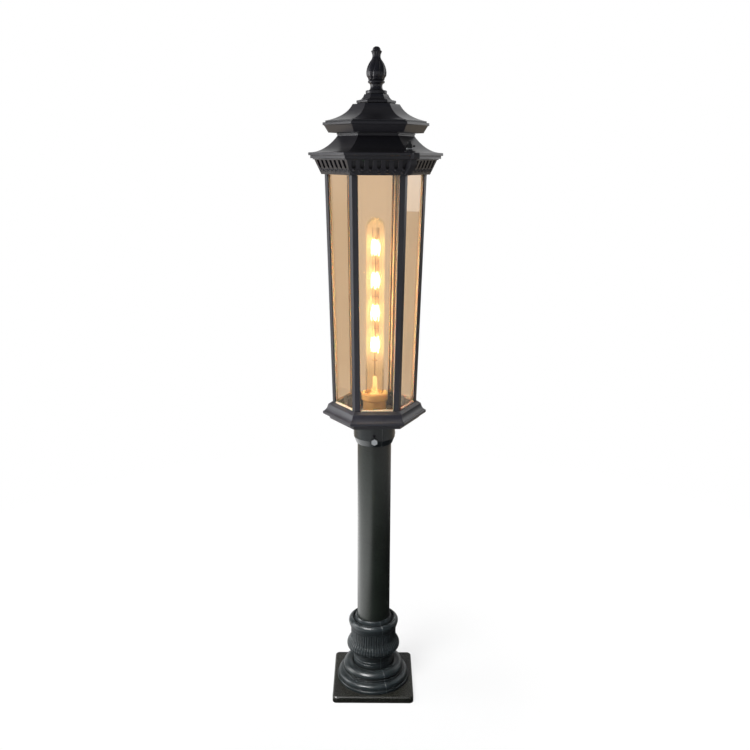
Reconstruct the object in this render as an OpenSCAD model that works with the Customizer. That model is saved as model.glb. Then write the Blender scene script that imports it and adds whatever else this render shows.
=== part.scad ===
// Lantern floor lamp: a six-sided pagoda lantern on a round pole with a cast foot.
// Millimetres, +Z up. The origin is the centre of the underside of the base plate,
// where the lamp stands on the floor. -Y is the front.
// Every separate piece is one module and one node.

/* [Base] */

// Side of the square base plate
plate_side = 150; // [144:2:200]
// Thickness of the base plate
plate_thickness = 12; // [8:1:20]
// Corner radius of the base plate
plate_corner = 8; // [4:1:14]
// Chamfer along the upper edge of the base plate
plate_chamfer = 2.2; // [1:0.2:4]
// Diameter of the cable hole in the base plate
cable_hole = 20.5; // [16:0.5:32]
// Radius of the foot casting where it stands on the plate
foot_radius = 68; // [60:0.5:74]

/* [Pole] */

// Outside diameter of the pole tube
pole_diameter = 60.3; // [58:0.1:61]
// Wall of the pole tube
pole_wall = 2.9; // [2:0.1:5]
// Length of the pole tube from the plate up
pole_length = 506; // [300:2:1400]

/* [Fluted collar] */

// Number of reeds around the collar
reed_count = 56; // [24:2:60]
// Depth of the grooves between the reeds
reed_depth = 1.3; // [0.6:0.1:1.8]
// Height of the underside of the collar above the floor
collar_foot_z = 72; // [70:0.5:76]
// Diameter of the two grub screws that clamp the collar
collar_screw = 8; // [5:1:10]
// Direction of the first collar screw, degrees about the pole
collar_screw_angle = 195; // [150:1:230]

/* [Lantern body] */

// Turn of the lantern on the pole, degrees
head_turn = 3.5; // [-30:0.5:30]
// Distance of the post corners from the axis at the foot of the glass
post_foot_corner = 74; // [66:0.2:82]
// Distance of the post corners from the axis at the top of the glass
post_top_corner = 84.6; // [76:0.2:94]
// Height of the glazed part between the tray and the frieze
glazed_height = 391; // [340:1:480]
// Width of each leg of a corner post
post_leg = 8.5; // [7:0.5:10]
// Thickness of a corner post
post_thickness = 3; // [2:0.2:3.6]
// Thickness of the glass panes
glass_thickness = 4; // [3:0.5:5]
// How far the tray's lip corners stand out from the post corners
tray_overhang = 17.5; // [15.5:0.5:24]
// Thickness of the tray floor
tray_floor = 6; // [4:0.5:8]

/* [Frieze] */

// How far the lower corners of the frieze stand out from the post corners
frieze_overhang = 5.6; // [5:0.2:8]
// How much further out its upper corners stand
frieze_flare = 11.3; // [8:0.1:13]
// Wall of the frieze below the slots
frieze_wall = 3.5; // [2.6:0.1:4]
// Depth of the slots, which are blind
slot_depth = 3.7; // [2:0.1:4.5]
// Metal left behind a slot
slot_skin = 1.2; // [0.8:0.1:2]
// Number of slots in each of the six sides
slots_per_side = 7; // [3:1:7]
// Width of a slot
slot_width = 6.6; // [4:0.2:8]
// Distance between two slots
slot_pitch = 13.2; // [11:0.1:13.6]
// Radius of the bead under each slot
bead_radius = 2; // [1.4:0.1:2.4]

/* [Roof] */

// How far the lower eave corners stand out from the frieze
eave_overhang = 9.8; // [8.6:0.2:12]
// How far the upper eave corners stand back from the lower ones
upper_eave_inset = 24; // [18:0.5:27]
// Wall of both roof castings
roof_wall = 3; // [2.4:0.1:3.6]
// Number of petals of the finial bud
petal_count = 8; // [6:1:10]
// Depth of the grooves between the petals
petal_groove = 1.5; // [0.6:0.1:2]

/* [Roof hinge and closure] */

// Distance of the hinge axis outside the eave corner
hinge_overhang = 5.7; // [5.1:0.1:7]
// Diameter of the hinge pin
hinge_pin_diameter = 5; // [4:0.2:5.4]
// Radius of the hinge knuckles
knuckle_radius = 4.5; // [4.2:0.1:4.6]
// Distance of the closure screw inside the eave corner
closure_inset = 17.3; // [16.8:0.1:17.8]
// Diameter of the closure screw
closure_screw_diameter = 7; // [5.4:0.1:7.2]
// Depth the closure screw enters the frieze
closure_depth = 6; // [4:0.5:6]
// Span of the two wings on the closure screw
wing_span = 22; // [18:1:22]

/* [Lamp holder and bulb] */

// Radius of the ceramic rim of the lamp holder
holder_rim_radius = 23.5; // [22:0.5:26]
// Diameter of the tubular bulb
bulb_diameter = 32; // [30:0.5:34]
// Height of the bulb's dome above the tray's underside
bulb_top = 351; // [200:1:380]
// Number of filament groups up the bulb
filament_groups = 4; // [2:1:5]

/* [Fits] */

// Radial clearance where one piece turns in another
turning_clearance = 0.05; // [0.02:0.01:0.1]
// Radial clearance of a screw in its hole
screw_clearance = 0.05; // [0.02:0.01:0.2]
// Radial clearance of the castings that slide over the pole
casting_clearance = 0.25; // [0.1:0.05:0.3]
// Gap under the closed roof and around the post ends
seat_gap = 0.2; // [0.1:0.05:0.4]

/* [Hidden] */

$fn = 64;

flat = cos(30);
pole_radius = pole_diameter / 2;
pole_top = plate_thickness + pole_length;
sleeve_bore = pole_radius + casting_clearance;

// corner distances of the head, each from the one below it
tray_corner = post_foot_corner + tray_overhang;
frieze_foot_corner = post_top_corner + frieze_overhang;
frieze_top_corner = frieze_foot_corner + frieze_flare;
eave_corner = frieze_top_corner + eave_overhang;
upper_eave_corner = eave_corner - upper_eave_inset;
hinge_out = eave_corner + hinge_overhang;
closure_out = eave_corner - closure_inset;

// heights of the head
tray_z = pole_top + 12;
rim_z = tray_z + 30;
frieze_z = rim_z + glazed_height;
frieze_top = frieze_z + 25;
roof_z = frieze_top + seat_gap;
collar_z = roof_z + 47.8;
upper_z = collar_z - 7.2;
finial_z = upper_z + 60.2;

// the leaning corner line of the posts
post_rise = glazed_height - 5;
corner_lean = atan((post_top_corner - post_foot_corner) / post_rise);
face_lean = atan(tan(corner_lean) * flat);
function post_corner(z) = post_foot_corner + (z - rim_z - 2) * tan(corner_lean);
pocket = 3;

// the glass stands behind the post legs
glass_gap = 0.15;
ledge_z = rim_z - 5;
glass_foot = ledge_z + 0.3;
glass_head = frieze_z + 2.6;
function glass_outer(z) = post_corner(z) * flat - post_thickness - glass_gap;
function glass_inner(z) = glass_outer(z) - glass_thickness;
ledge_in = glass_inner(rim_z) - 1;
rebate_out = glass_outer(rim_z) + 0.4;
clip_sheet = 0.8;

// the frieze wall
frieze_run = (frieze_top_corner - frieze_foot_corner) / 23.4;
function frieze_corner(z) = frieze_foot_corner + (z - frieze_z) * frieze_run;
frieze_opening = (glass_outer(frieze_z + 3) + 0.5) / flat;

// closure and hinge heights
closure_turn = -60;
hinge_turn = 120;
hinge_z = frieze_top + 3.5;
pad_z = frieze_top + 15;
closure_radius = closure_screw_diameter / 2;
lift = closure_depth + 1;

// a curve through two ends and one pull point
function curve(a, b, c, n) = [
    for (i = [0 : n])
        let (t = i / n)
        [for (k = [0, 1]) (1 - t) * (1 - t) * a[k] + 2 * t * (1 - t) * b[k] + t * t * c[k]]
];

// points moved up by z
function raised(pts, z) = [for (p = pts) [p[0], p[1] + z]];

// points moved out from the bore of the sliding castings
function outward(pts) = [for (p = pts) [sleeve_bore + p[0], p[1]]];

// a corner distance profile as a mirrored section across two flats
function section(pts) = concat(
    [for (p = pts) [p[0] * flat, p[1]]],
    [for (i = [len(pts) - 1 : -1 : 0]) [-pts[i][0] * flat, pts[i][1]]]
);

module slab(pts, turn, reach) {
    rotate([0, 0, turn])
        rotate([90, 0, 0])
            linear_extrude(height = reach, center = true)
                polygon(section(pts));
}

// a six-sided form from [corner distance, height] points
module six_sided(pts, reach = 300) {
    intersection() {
        slab(pts, 30, reach);
        slab(pts, 90, reach);
        slab(pts, 150, reach);
    }
}

module turned(pts) {
    rotate_extrude() polygon(pts);
}

module tube(outer, inner, z0, z1) {
    translate([0, 0, z0])
        difference() {
            cylinder(r = outer, h = z1 - z0);
            translate([0, 0, -1]) cylinder(r = inner, h = z1 - z0 + 2);
        }
}

// a rod along +X from x0 to x1
module rod_x(r, x0, x1) {
    translate([x0, 0, 0])
        rotate([0, 90, 0])
            cylinder(r = r, h = x1 - x0);
}

// a rod along Y, centred
module rod_y(r, length) {
    rotate([90, 0, 0]) cylinder(r = r, h = length, center = true);
}

// a hexagonal bar by its width across flats
module hex_bar(across, h) {
    cylinder(r = across / 2 / flat, h = h, $fn = 6);
}

// a shape drawn in the radial plane, given a width
module radial_web(pts, width) {
    rotate([90, 0, 0])
        linear_extrude(height = width, center = true)
            polygon(pts);
}

module in_head() {
    rotate([0, 0, head_turn]) children();
}

module at_side(k) {
    rotate([0, 0, head_turn + 60 * k]) children();
}

// ---------------------------------------------------------------- base

module plate_bar(length, width) {
    rotate([90, 0, 90])
        linear_extrude(height = width, center = true)
            polygon([
                [-length / 2, 0], [length / 2, 0],
                [length / 2, plate_thickness - plate_chamfer],
                [length / 2 - plate_chamfer, plate_thickness],
                [plate_chamfer - length / 2, plate_thickness],
                [-length / 2, plate_thickness - plate_chamfer]
            ]);
}

module base_plate() {
    inner = plate_side - 2 * plate_corner;
    color("#2b2725")
        difference() {
            union() {
                plate_bar(plate_side, inner);
                rotate([0, 0, 90]) plate_bar(plate_side, inner);
                for (x = [-1, 1], y = [-1, 1])
                    translate([x * inner / 2, y * inner / 2, 0]) {
                        cylinder(r = plate_corner, h = plate_thickness - plate_chamfer);
                        translate([0, 0, plate_thickness - plate_chamfer])
                            cylinder(
                                r1 = plate_corner,
                                r2 = plate_corner - plate_chamfer,
                                h = plate_chamfer
                            );
                    }
            }
            translate([0, 0, -1]) cylinder(d = cable_hole, h = plate_thickness + 2);
        }
}

module pole() {
    color("#2d3331") tube(pole_radius, pole_radius - pole_wall, plate_thickness, pole_top);
}

// the foot by distance outside its neck: flange, lower torus, two fine rings,
// upper torus and a neck with two turned lines
foot_neck = sleeve_bore + 7.2;
foot_neck_top = 84;
foot_step = (foot_radius - foot_neck) / 30.4;
function stepped(pts) = [for (p = pts) [foot_neck + p[0] * foot_step, p[1]]];
foot_outside = concat(
    stepped(concat(
        [[30.4, 12], [30.4, 16.4], [29.6, 17.4], [27.8, 17.6]],
        curve([28, 18.4], [29.6, 26.6], [20.8, 28.4], 8),
        [[19.8, 28.6], [19.8, 30], [18.2, 30.5], [19.4, 31.2], [19.4, 32.4]],
        [[16.2, 33.2], [16.2, 34.4]],
        curve([17.6, 34.9], [20.4, 38.4], [17.4, 42.2], 7),
        curve([16.4, 43.2], [12.2, 47.6], [6.4, 46.6], 6),
        curve([4.4, 46.2], [1, 45.6], [0, 42.6], 5)
    )),
    [[foot_neck, 52.2], [foot_neck - 0.8, 53], [foot_neck, 53.8]],
    [[foot_neck, 57.7], [foot_neck - 0.8, 58.5], [foot_neck, 59.3]],
    [[foot_neck, foot_neck_top]]
);
foot_inside = concat(
    stepped([[25.4, 11], [25.4, 14.6], [21.4, 20], [15.8, 25.4], [13, 31], [12.8, 36.4], [8, 38.8]]),
    [[sleeve_bore, 38.8], [sleeve_bore, foot_neck_top + 1], [0, foot_neck_top + 1], [0, 11]]
);

module base_casting() {
    z = plate_thickness - 12;
    color("#2f3234")
        translate([0, 0, z])
            difference() {
                turned(concat([[0, 12]], foot_outside, [[0, foot_neck_top]]));
                turned(foot_inside);
            }
}

// the collar's body by height above its underside, thickness and share of the reeds
collar_rows = [
    [1.6, 14.5, 0.2], [3, 16.2, 0.8], [5, 18.1, 1], [7.4, 19.1, 1], [10, 19.3, 1],
    [13, 18.8, 1], [16.6, 17.1, 1], [20.8, 14.3, 1], [25, 12.5, 1], [30, 11.9, 1],
    [41, 11.9, 1], [45.5, 12.4, 0.9], [48, 12.9, 0.5], [50, 13.3, 0.2]
];
reed_wave = [0, 0.12, 1, 0.12];

function reed_ring(row) = [
    for (i = [0 : 4 * reed_count - 1])
        let (
            a = 90 * i / reed_count,
            r = sleeve_bore + row[1] - reed_depth * row[2] * reed_wave[i % 4]
        )
        [r * cos(a), r * sin(a), row[0]]
];

module reeded_body() {
    n = 4 * reed_count;
    rows = len(collar_rows);
    top = rows * n + 1;
    points = concat(
        [for (row = collar_rows) each reed_ring(row)],
        [[0, 0, collar_rows[0][0]], [0, 0, collar_rows[rows - 1][0]]]
    );
    sides = [
        for (j = [0 : rows - 2], i = [0 : n - 1])
            let (p = j * n + i, q = j * n + (i + 1) % n)
            each [[p, p + n, q], [q, p + n, q + n]]
    ];
    floor_fan = [for (i = [0 : n - 1]) [rows * n, i, (i + 1) % n]];
    roof_fan = [
        for (i = [0 : n - 1])
            [top, (rows - 1) * n + (i + 1) % n, (rows - 1) * n + i]
    ];
    polyhedron(points = points, faces = concat(sides, floor_fan, roof_fan), convexity = 6);
}

collar_screw_z = 29;
collar_shoulder = foot_neck_top - 12 + plate_thickness;

module fluted_collar() {
    lip = outward(concat(
        [[-4, 0], [13.2, 0]],
        curve([14.2, 0.4], [15.2, 1.2], [14.2, 2.2], 4),
        [[10.6, 3], [-4, 3]]
    ));
    crown = outward(concat(
        [[-4, 44], [12.2, 45.4]],
        curve([13, 46.4], [14.2, 50], [15.4, 54], 4),
        curve([15.9, 55.6], [17.2, 60.4], [12, 64], 7),
        [[10.4, 64.6], [8.2, 63.8], [7.2, 60.8], [5.4, 60.8], [4.4, 64.4]],
        [[3.2, 67.8], [2, 69.6], [-4, 69.6]]
    ));
    color("#303336")
        translate([0, 0, collar_foot_z])
            difference() {
                union() {
                    reeded_body();
                    turned(lip);
                    turned(crown);
                }
                translate([0, 0, -1]) cylinder(r = sleeve_bore, h = 80);
                translate([0, 0, -1])
                    cylinder(r = foot_neck + 1.4, h = collar_shoulder - collar_foot_z + 1);
                for (a = [0, 180])
                    rotate([0, 0, collar_screw_angle + a])
                        translate([0, 0, collar_screw_z])
                            rod_x(collar_screw / 2 + screw_clearance, 20, 60);
            }
}

module collar_screws() {
    color("#1d1e20")
        for (a = [0, 180])
            rotate([0, 0, collar_screw_angle + a])
                translate([0, 0, collar_foot_z + collar_screw_z])
                    difference() {
                        rod_x(collar_screw / 2, pole_radius, sleeve_bore + 8.6);
                        translate([sleeve_bore + 4.6, 0, 0])
                            rotate([0, 90, 0])
                                hex_bar(collar_screw / 2, 8);
                    }
}

// ---------------------------------------------------------------- socket

socket_radius = pole_radius + 6.35;
socket_z = tray_z - 45;
hex_screw_z = tray_z - 33.5;
grub_screw_z = tray_z - 23;
socket_bore = pole_radius + turning_clearance;

module head_socket() {
    color("#34363a")
        difference() {
            turned([
                [0, socket_z], [socket_radius - 4.9, socket_z],
                [socket_radius - 4.1, socket_z + 0.8],
                [socket_radius - 0.6, socket_z + 10.2], [socket_radius, socket_z + 11.4],
                [socket_radius, tray_z], [0, tray_z]
            ]);
            translate([0, 0, socket_z - 1]) cylinder(r = socket_bore, h = pole_top - socket_z + 1);
            translate([0, 0, socket_z]) cylinder(r = pole_radius - 6, h = 60);
            for (a = [-90, 30, 150])
                rotate([0, 0, a]) {
                    translate([0, 0, hex_screw_z]) rod_x(3 + screw_clearance, 20, 60);
                    translate([0, 0, grub_screw_z]) rod_x(2.5 + screw_clearance, 20, 60);
                }
            in_head() bolt_circle() translate([0, 0, tray_z - 11])
                cylinder(r = 2.5 + screw_clearance, h = 20);
        }
}

module socket_hex_screws() {
    color("#b9bcbe")
        for (a = [-90, 30, 150])
            rotate([0, 0, a])
                translate([0, 0, hex_screw_z]) {
                    rod_x(3, pole_radius + 0.02, socket_radius + 0.2);
                    translate([socket_radius + 0.1, 0, 0])
                        rotate([0, 90, 0])
                            difference() {
                                hex_bar(10, 4);
                                translate([0, 0, 3.4]) cylinder(r = 3, h = 2);
                            }
                }
}

module socket_grub_screws() {
    color("#1b1c1e")
        for (a = [-90, 30, 150])
            rotate([0, 0, a])
                translate([0, 0, grub_screw_z])
                    difference() {
                        rod_x(2.5, pole_radius + 0.02, socket_radius - 0.8);
                        translate([socket_radius - 3, 0, 0])
                            rotate([0, 90, 0])
                                hex_bar(2.5, 5);
                    }
}

bolt_out = socket_radius - 6.2;
module bolt_circle() {
    for (a = [30, 150, 270])
        rotate([0, 0, a]) translate([bolt_out, 0, 0]) children();
}

module pan_screw(r, head, head_h, length) {
    difference() {
        union() {
            translate([0, 0, -length]) cylinder(r = r, h = length + 0.2);
            turned([[0, 0], [head, 0], [head, head_h * 0.45], [head * 0.7, head_h], [0, head_h]]);
        }
        for (a = [0, 90])
            rotate([0, 0, a])
                translate([-head * 0.45, -head * 0.09, head_h * 0.45])
                    cube([head * 0.9, head * 0.18, head_h]);
    }
}

module tray_bolts() {
    color("#a7aaac")
        in_head() bolt_circle()
            translate([0, 0, tray_z + tray_floor])
                pan_screw(2.5, 4.4, 2.8, tray_floor + 9);
}

// ---------------------------------------------------------------- tray and posts

module post_bar(grow = 0) {
    leg = post_leg + grow;
    t = post_thickness + 2 * grow;
    translate([post_corner(rim_z), 0, rim_z])
        rotate([0, corner_lean, 0])
            translate([grow / flat, 0, -20])
                linear_extrude(height = glazed_height + 40)
                    polygon([
                        [0, 0], [-leg / 2, leg * flat],
                        [-leg / 2 - t * flat, leg * flat - t / 2],
                        [-t / flat, 0],
                        [-leg / 2 - t * flat, t / 2 - leg * flat],
                        [-leg / 2, -leg * flat]
                    ]);
}

module corner_post(k) {
    color("#3a3a40")
        at_side(k)
            intersection() {
                post_bar();
                translate([60, -20, rim_z - pocket + seat_gap])
                    cube([50, 40, glazed_height + 2 * (pocket - seat_gap)]);
            }
}

module post_pockets(z0, z1) {
    for (k = [0 : 5])
        rotate([0, 0, 60 * k])
            intersection() {
                post_bar(seat_gap / 2);
                translate([60, -20, z0]) cube([50, 40, z1 - z0]);
            }
}

module tray() {
    c = tray_corner;
    outside = raised(concat(
        [[c - 12, 0], [c - 12, 8], [c - 1, 8.4], [c, 9.2], [c, 12.8]],
        curve([c - 0.9, 13.8], [c - 7.6, 16.6], [c - 9.3, 26], 8),
        [[post_foot_corner + 2, 30]]
    ), tray_z);
    inside = [
        [ledge_in / flat, tray_z + tray_floor], [ledge_in / flat, ledge_z],
        [rebate_out / flat, ledge_z], [rebate_out / flat, rim_z + 1]
    ];
    color("#35353b")
        in_head()
            difference() {
                six_sided(outside);
                six_sided(inside);
                translate([0, 0, tray_z - 1]) cylinder(r = 12, h = 20);
                bolt_circle() translate([0, 0, tray_z - 1]) cylinder(r = 2.6, h = 20);
                for (x = [-bracket_hole, bracket_hole])
                    translate([x, 0, tray_z - 1]) cylinder(r = 2 + screw_clearance, h = 20);
                for (k = [0 : 5])
                    rotate([0, 0, 60 * k])
                        translate([0, 1 - ledge_in, ledge_z - 6])
                            rotate([90, 0, 0])
                                cylinder(r = 1.25 + screw_clearance, h = 7);
                post_pockets(rim_z - pocket, rim_z + 2);
            }
}

module glass_pane(k) {
    w0 = glass_inner(glass_foot) * tan(30) - 0.7;
    w1 = glass_inner(glass_head) * tan(30) - 0.7;
    rise = (glass_head - glass_foot) / cos(face_lean);
    color("#d3aa74", 0.45)
        at_side(k)
            translate([0, -glass_inner(glass_foot), glass_foot])
                rotate([face_lean, 0, 0])
                    rotate([90, 0, 0])
                        linear_extrude(height = glass_thickness)
                            polygon([[-w0, 0], [w0, 0], [w1, rise], [-w1, rise]]);
}

// the spring clips that hold the glass at its foot
module lower_clips() {
    a = ledge_in - 0.1;
    g = glass_inner(rim_z) - 0.1;
    s = clip_sheet;
    color("#8d9092")
        for (k = [0 : 5])
            at_side(k)
                rotate([0, 0, -90])
                    difference() {
                        radial_web([
                            [a, ledge_z - 10], [a, ledge_z + 0.4], [g, ledge_z + 1.4],
                            [g, ledge_z + 8], [g - s, ledge_z + 8], [g - s, ledge_z + 1.8],
                            [a - s, ledge_z + 0.8], [a - s, ledge_z - 10]
                        ], 12);
                        translate([0, 0, ledge_z - 6]) rod_x(1.6, 40, 70);
                    }
}

// the angle clips that hold the glass at its head
upper_clip_screw = post_top_corner * flat;
module upper_clips() {
    top = frieze_z + 3.1;
    g = glass_inner(frieze_z) - 0.15;
    s = clip_sheet;
    color("#8d9092")
        for (k = [0 : 5])
            at_side(k)
                rotate([0, 0, -90])
                    difference() {
                        radial_web([
                            [upper_clip_screw + 2.2, top], [upper_clip_screw + 2.2, top + s],
                            [g - s, top + s], [g - s, top - 2.6], [g, top - 2.6], [g, top]
                        ], 12);
                        translate([upper_clip_screw, 0, top - 2]) cylinder(r = 1.6, h = 6);
                    }
}

module clip_screws() {
    color("#a7aaac")
        for (k = [0 : 5])
            at_side(k)
                rotate([0, 0, -90]) {
                    translate([upper_clip_screw, 0, frieze_z + 3.1 + clip_sheet])
                        pan_screw(1.25, 2.1, 1.4, 3.4);
                    translate([ledge_in - 0.1 - clip_sheet, 0, ledge_z - 6])
                        rotate([0, -90, 0])
                            pan_screw(1.25, 2.4, 1.6, 6);
                }
}

// ---------------------------------------------------------------- frieze

module slot_tool() {
    r = slot_width / 2;
    low = frieze_z + 10 + r;
    translate([0, 0, low]) rod_x(r, 76, 104);
    translate([76, -r, low]) cube([28, slot_width, frieze_z + 22.8 - low]);
}

// ears of the hinge: a round knuckle on a web from the corner of the frieze
hinge_ear = [
    [frieze_corner(frieze_z + 10) + 1, frieze_z + 10], [hinge_out - 18, frieze_z + 12],
    [hinge_out - 2, frieze_z + 22.4], [hinge_out + 1.5, frieze_z + 25.2],
    [hinge_out, hinge_z], [hinge_out - knuckle_radius, hinge_z],
    [hinge_out - knuckle_radius, frieze_top], [frieze_top_corner - 5.5, frieze_top]
];
ear_in = 5.2;
ear_out = 9.4;

module frieze() {
    // corner distances of the wall's inside and of the floor of the slots
    function wall_in(z) = frieze_corner(frieze_z + z) - frieze_wall / flat;
    function thick_in(z) = slot_floor(z) - slot_skin / flat;
    function slot_floor(z) = frieze_corner(frieze_z + z) - slot_depth / flat;
    outside = [
        [frieze_foot_corner, frieze_z], [frieze_top_corner, frieze_z + 23.4],
        [frieze_top_corner + 2.5, frieze_z + 23.4], [frieze_top_corner + 2.5, frieze_top]
    ];
    inside = [
        [frieze_opening, frieze_z - 1], [frieze_opening, frieze_z + 3],
        [wall_in(3), frieze_z + 3], [wall_in(7.4), frieze_z + 7.4],
        [thick_in(8.6), frieze_z + 8.6], [thick_in(23.4), frieze_z + 23.4],
        [thick_in(23.4), frieze_top + 1]
    ];
    backing = [[slot_floor(0), frieze_z], [slot_floor(25), frieze_top]];
    bead_z = frieze_z + 8.4;
    bead_out = frieze_corner(bead_z) * flat - 0.4;
    first = -(slots_per_side - 1) / 2 * slot_pitch;
    color("#38383d")
        in_head()
            difference() {
                union() {
                    difference() {
                        six_sided(outside);
                        six_sided(inside);
                        difference() {
                            for (k = [0 : 5], i = [0 : slots_per_side - 1])
                                rotate([0, 0, 60 * k + 30])
                                    translate([0, first + i * slot_pitch, 0])
                                        slot_tool();
                            six_sided(backing);
                        }
                    }
                    for (k = [0 : 5], i = [0 : slots_per_side - 1])
                        rotate([0, 0, 60 * k + 30])
                            translate([bead_out, first + i * slot_pitch, bead_z])
                                sphere(r = bead_radius);
                    rotate([0, 0, closure_turn])
                        radial_web([
                            [closure_out - 6, frieze_z + 0.8],
                            [frieze_foot_corner + 1.4, frieze_z + 0.8],
                            [frieze_foot_corner + 3.2, frieze_z + 2.6],
                            [closure_out + 10, frieze_z + 13.6],
                            [closure_out + 12.6, frieze_z + 17],
                            [closure_out + 12.6, frieze_top], [closure_out - 6, frieze_top]
                        ], 11);
                    rotate([0, 0, hinge_turn])
                        for (y = [-1, 1])
                            translate([0, y * (ear_in + ear_out) / 2, 0]) {
                                radial_web(hinge_ear, ear_out - ear_in);
                                translate([hinge_out, 0, hinge_z])
                                    rod_y(knuckle_radius, ear_out - ear_in);
                            }
                }
                rotate([0, 0, closure_turn])
                    translate([closure_out, 0, frieze_z + 11])
                        cylinder(r = closure_radius + 0.2, h = 20);
                rotate([0, 0, hinge_turn])
                    translate([hinge_out, 0, hinge_z])
                        rod_y(hinge_pin_diameter / 2 + turning_clearance, 30);
                for (k = [0 : 5])
                    rotate([0, 0, 60 * k - 90])
                        translate([upper_clip_screw, 0, frieze_z - 1])
                            cylinder(r = 1.25 + screw_clearance, h = 6);
                post_pockets(frieze_z - 2, frieze_z + pocket);
            }
}

module hinge_pin() {
    r = hinge_pin_diameter / 2;
    e = ear_out + 0.1;
    color("#6d7072")
        rotate([0, 0, head_turn + hinge_turn])
            translate([hinge_out, 0, hinge_z])
                rotate([-90, 0, 0])
                    turned([
                        [0, -e - 1.8], [r * 0.9, -e - 1.8], [r + 1.3, -e - 0.9], [r + 1.3, -e],
                        [r, -e], [r, e], [r + 1.3, e], [r + 1.3, e + 0.9],
                        [r * 0.9, e + 1.8], [0, e + 1.8]
                    ]);
}

// ---------------------------------------------------------------- lamp holder

floor_z = tray_z + tray_floor;
platform_z = floor_z + 9;
bracket_hole = 31;
holder_top = tray_z + 47.5;
mouth_z = holder_top - 7.5;
shell_bore = 13.35;

module holder_bracket() {
    profile = [
        [-37, floor_z], [-23, floor_z], [-20.4, platform_z - 2], [20.4, platform_z - 2],
        [23, floor_z], [37, floor_z], [37, floor_z + 2], [24.5, floor_z + 2],
        [22, platform_z], [-22, platform_z], [-24.5, floor_z + 2], [-37, floor_z + 2]
    ];
    color("#9a9c9e")
        in_head()
            difference() {
                radial_web(profile, 18);
                cylinder(r = 5.15, h = 2000);
                for (x = [-bracket_hole, bracket_hole])
                    translate([x, 0, 0]) cylinder(r = 2.2, h = 2000);
            }
}

module bracket_screws() {
    color("#a7aaac")
        in_head()
            for (x = [-bracket_hole, bracket_hole])
                translate([x, 0, floor_z + 2]) pan_screw(2, 3.7, 2.4, tray_floor + 1);
}

module holder_nipple() {
    color("#b09a5c") in_head() tube(5, 3.4, platform_z - 6.5, platform_z + 6);
}

module nipple_nut() {
    color("#b09a5c")
        in_head()
            translate([0, 0, platform_z - 5])
                difference() {
                    hex_bar(14, 3);
                    translate([0, 0, -1]) cylinder(r = 5 + screw_clearance, h = 6);
                }
}

module lamp_holder() {
    r = holder_rim_radius;
    color("#e2d8c4")
        in_head()
            difference() {
                turned(concat(
                    [[0, platform_z], [18.6, platform_z], [20.4, platform_z + 2]],
                    [[20.8, holder_top - 14], [r - 1, holder_top - 12.6]],
                    curve([r - 0.2, holder_top - 12], [r + 0.2, holder_top - 6], [r, holder_top - 2], 4),
                    [[r - 1.4, holder_top], [0, holder_top]]
                ));
                translate([0, 0, platform_z + 6]) cylinder(r = 14.4, h = 60);
                translate([0, 0, mouth_z]) cylinder(r = bulb_diameter / 2 + 1.3, h = 30);
                translate([0, 0, platform_z - 1]) cylinder(r = 5 + screw_clearance, h = 10);
            }
}

module holder_shell() {
    color("#c9a24a") in_head() tube(14.3, shell_bore, platform_z + 7, mouth_z - 0.4);
}

module holder_contact() {
    color("#c9a24a")
        in_head()
            translate([0, 0, platform_z + 6])
                difference() {
                    translate([-11, -3.5, 0]) cube([22, 7, 0.7]);
                    for (x = [-8.6, 8.6])
                        translate([x, 0, -1]) cylinder(r = 1.2, h = 3);
                }
}

module terminal_block() {
    color("#e8e4da")
        in_head()
            translate([0, ledge_in - 12.4, floor_z])
                difference() {
                    translate([-16, -7, 0]) cube([32, 14, 13]);
                    for (x = [-10.5, 0, 10.5]) {
                        translate([x, 0, 6]) rotate([90, 0, 0]) cylinder(r = 2.4, h = 20, center = true);
                        translate([x, -3, 8]) cylinder(r = 1.9, h = 8);
                        translate([x, 3, 8]) cylinder(r = 1.9, h = 8);
                    }
                    for (x = [-5.25, 5.25])
                        translate([x - 0.7, -8, 10]) cube([1.4, 16, 5]);
                }
}

// ---------------------------------------------------------------- roof

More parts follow.
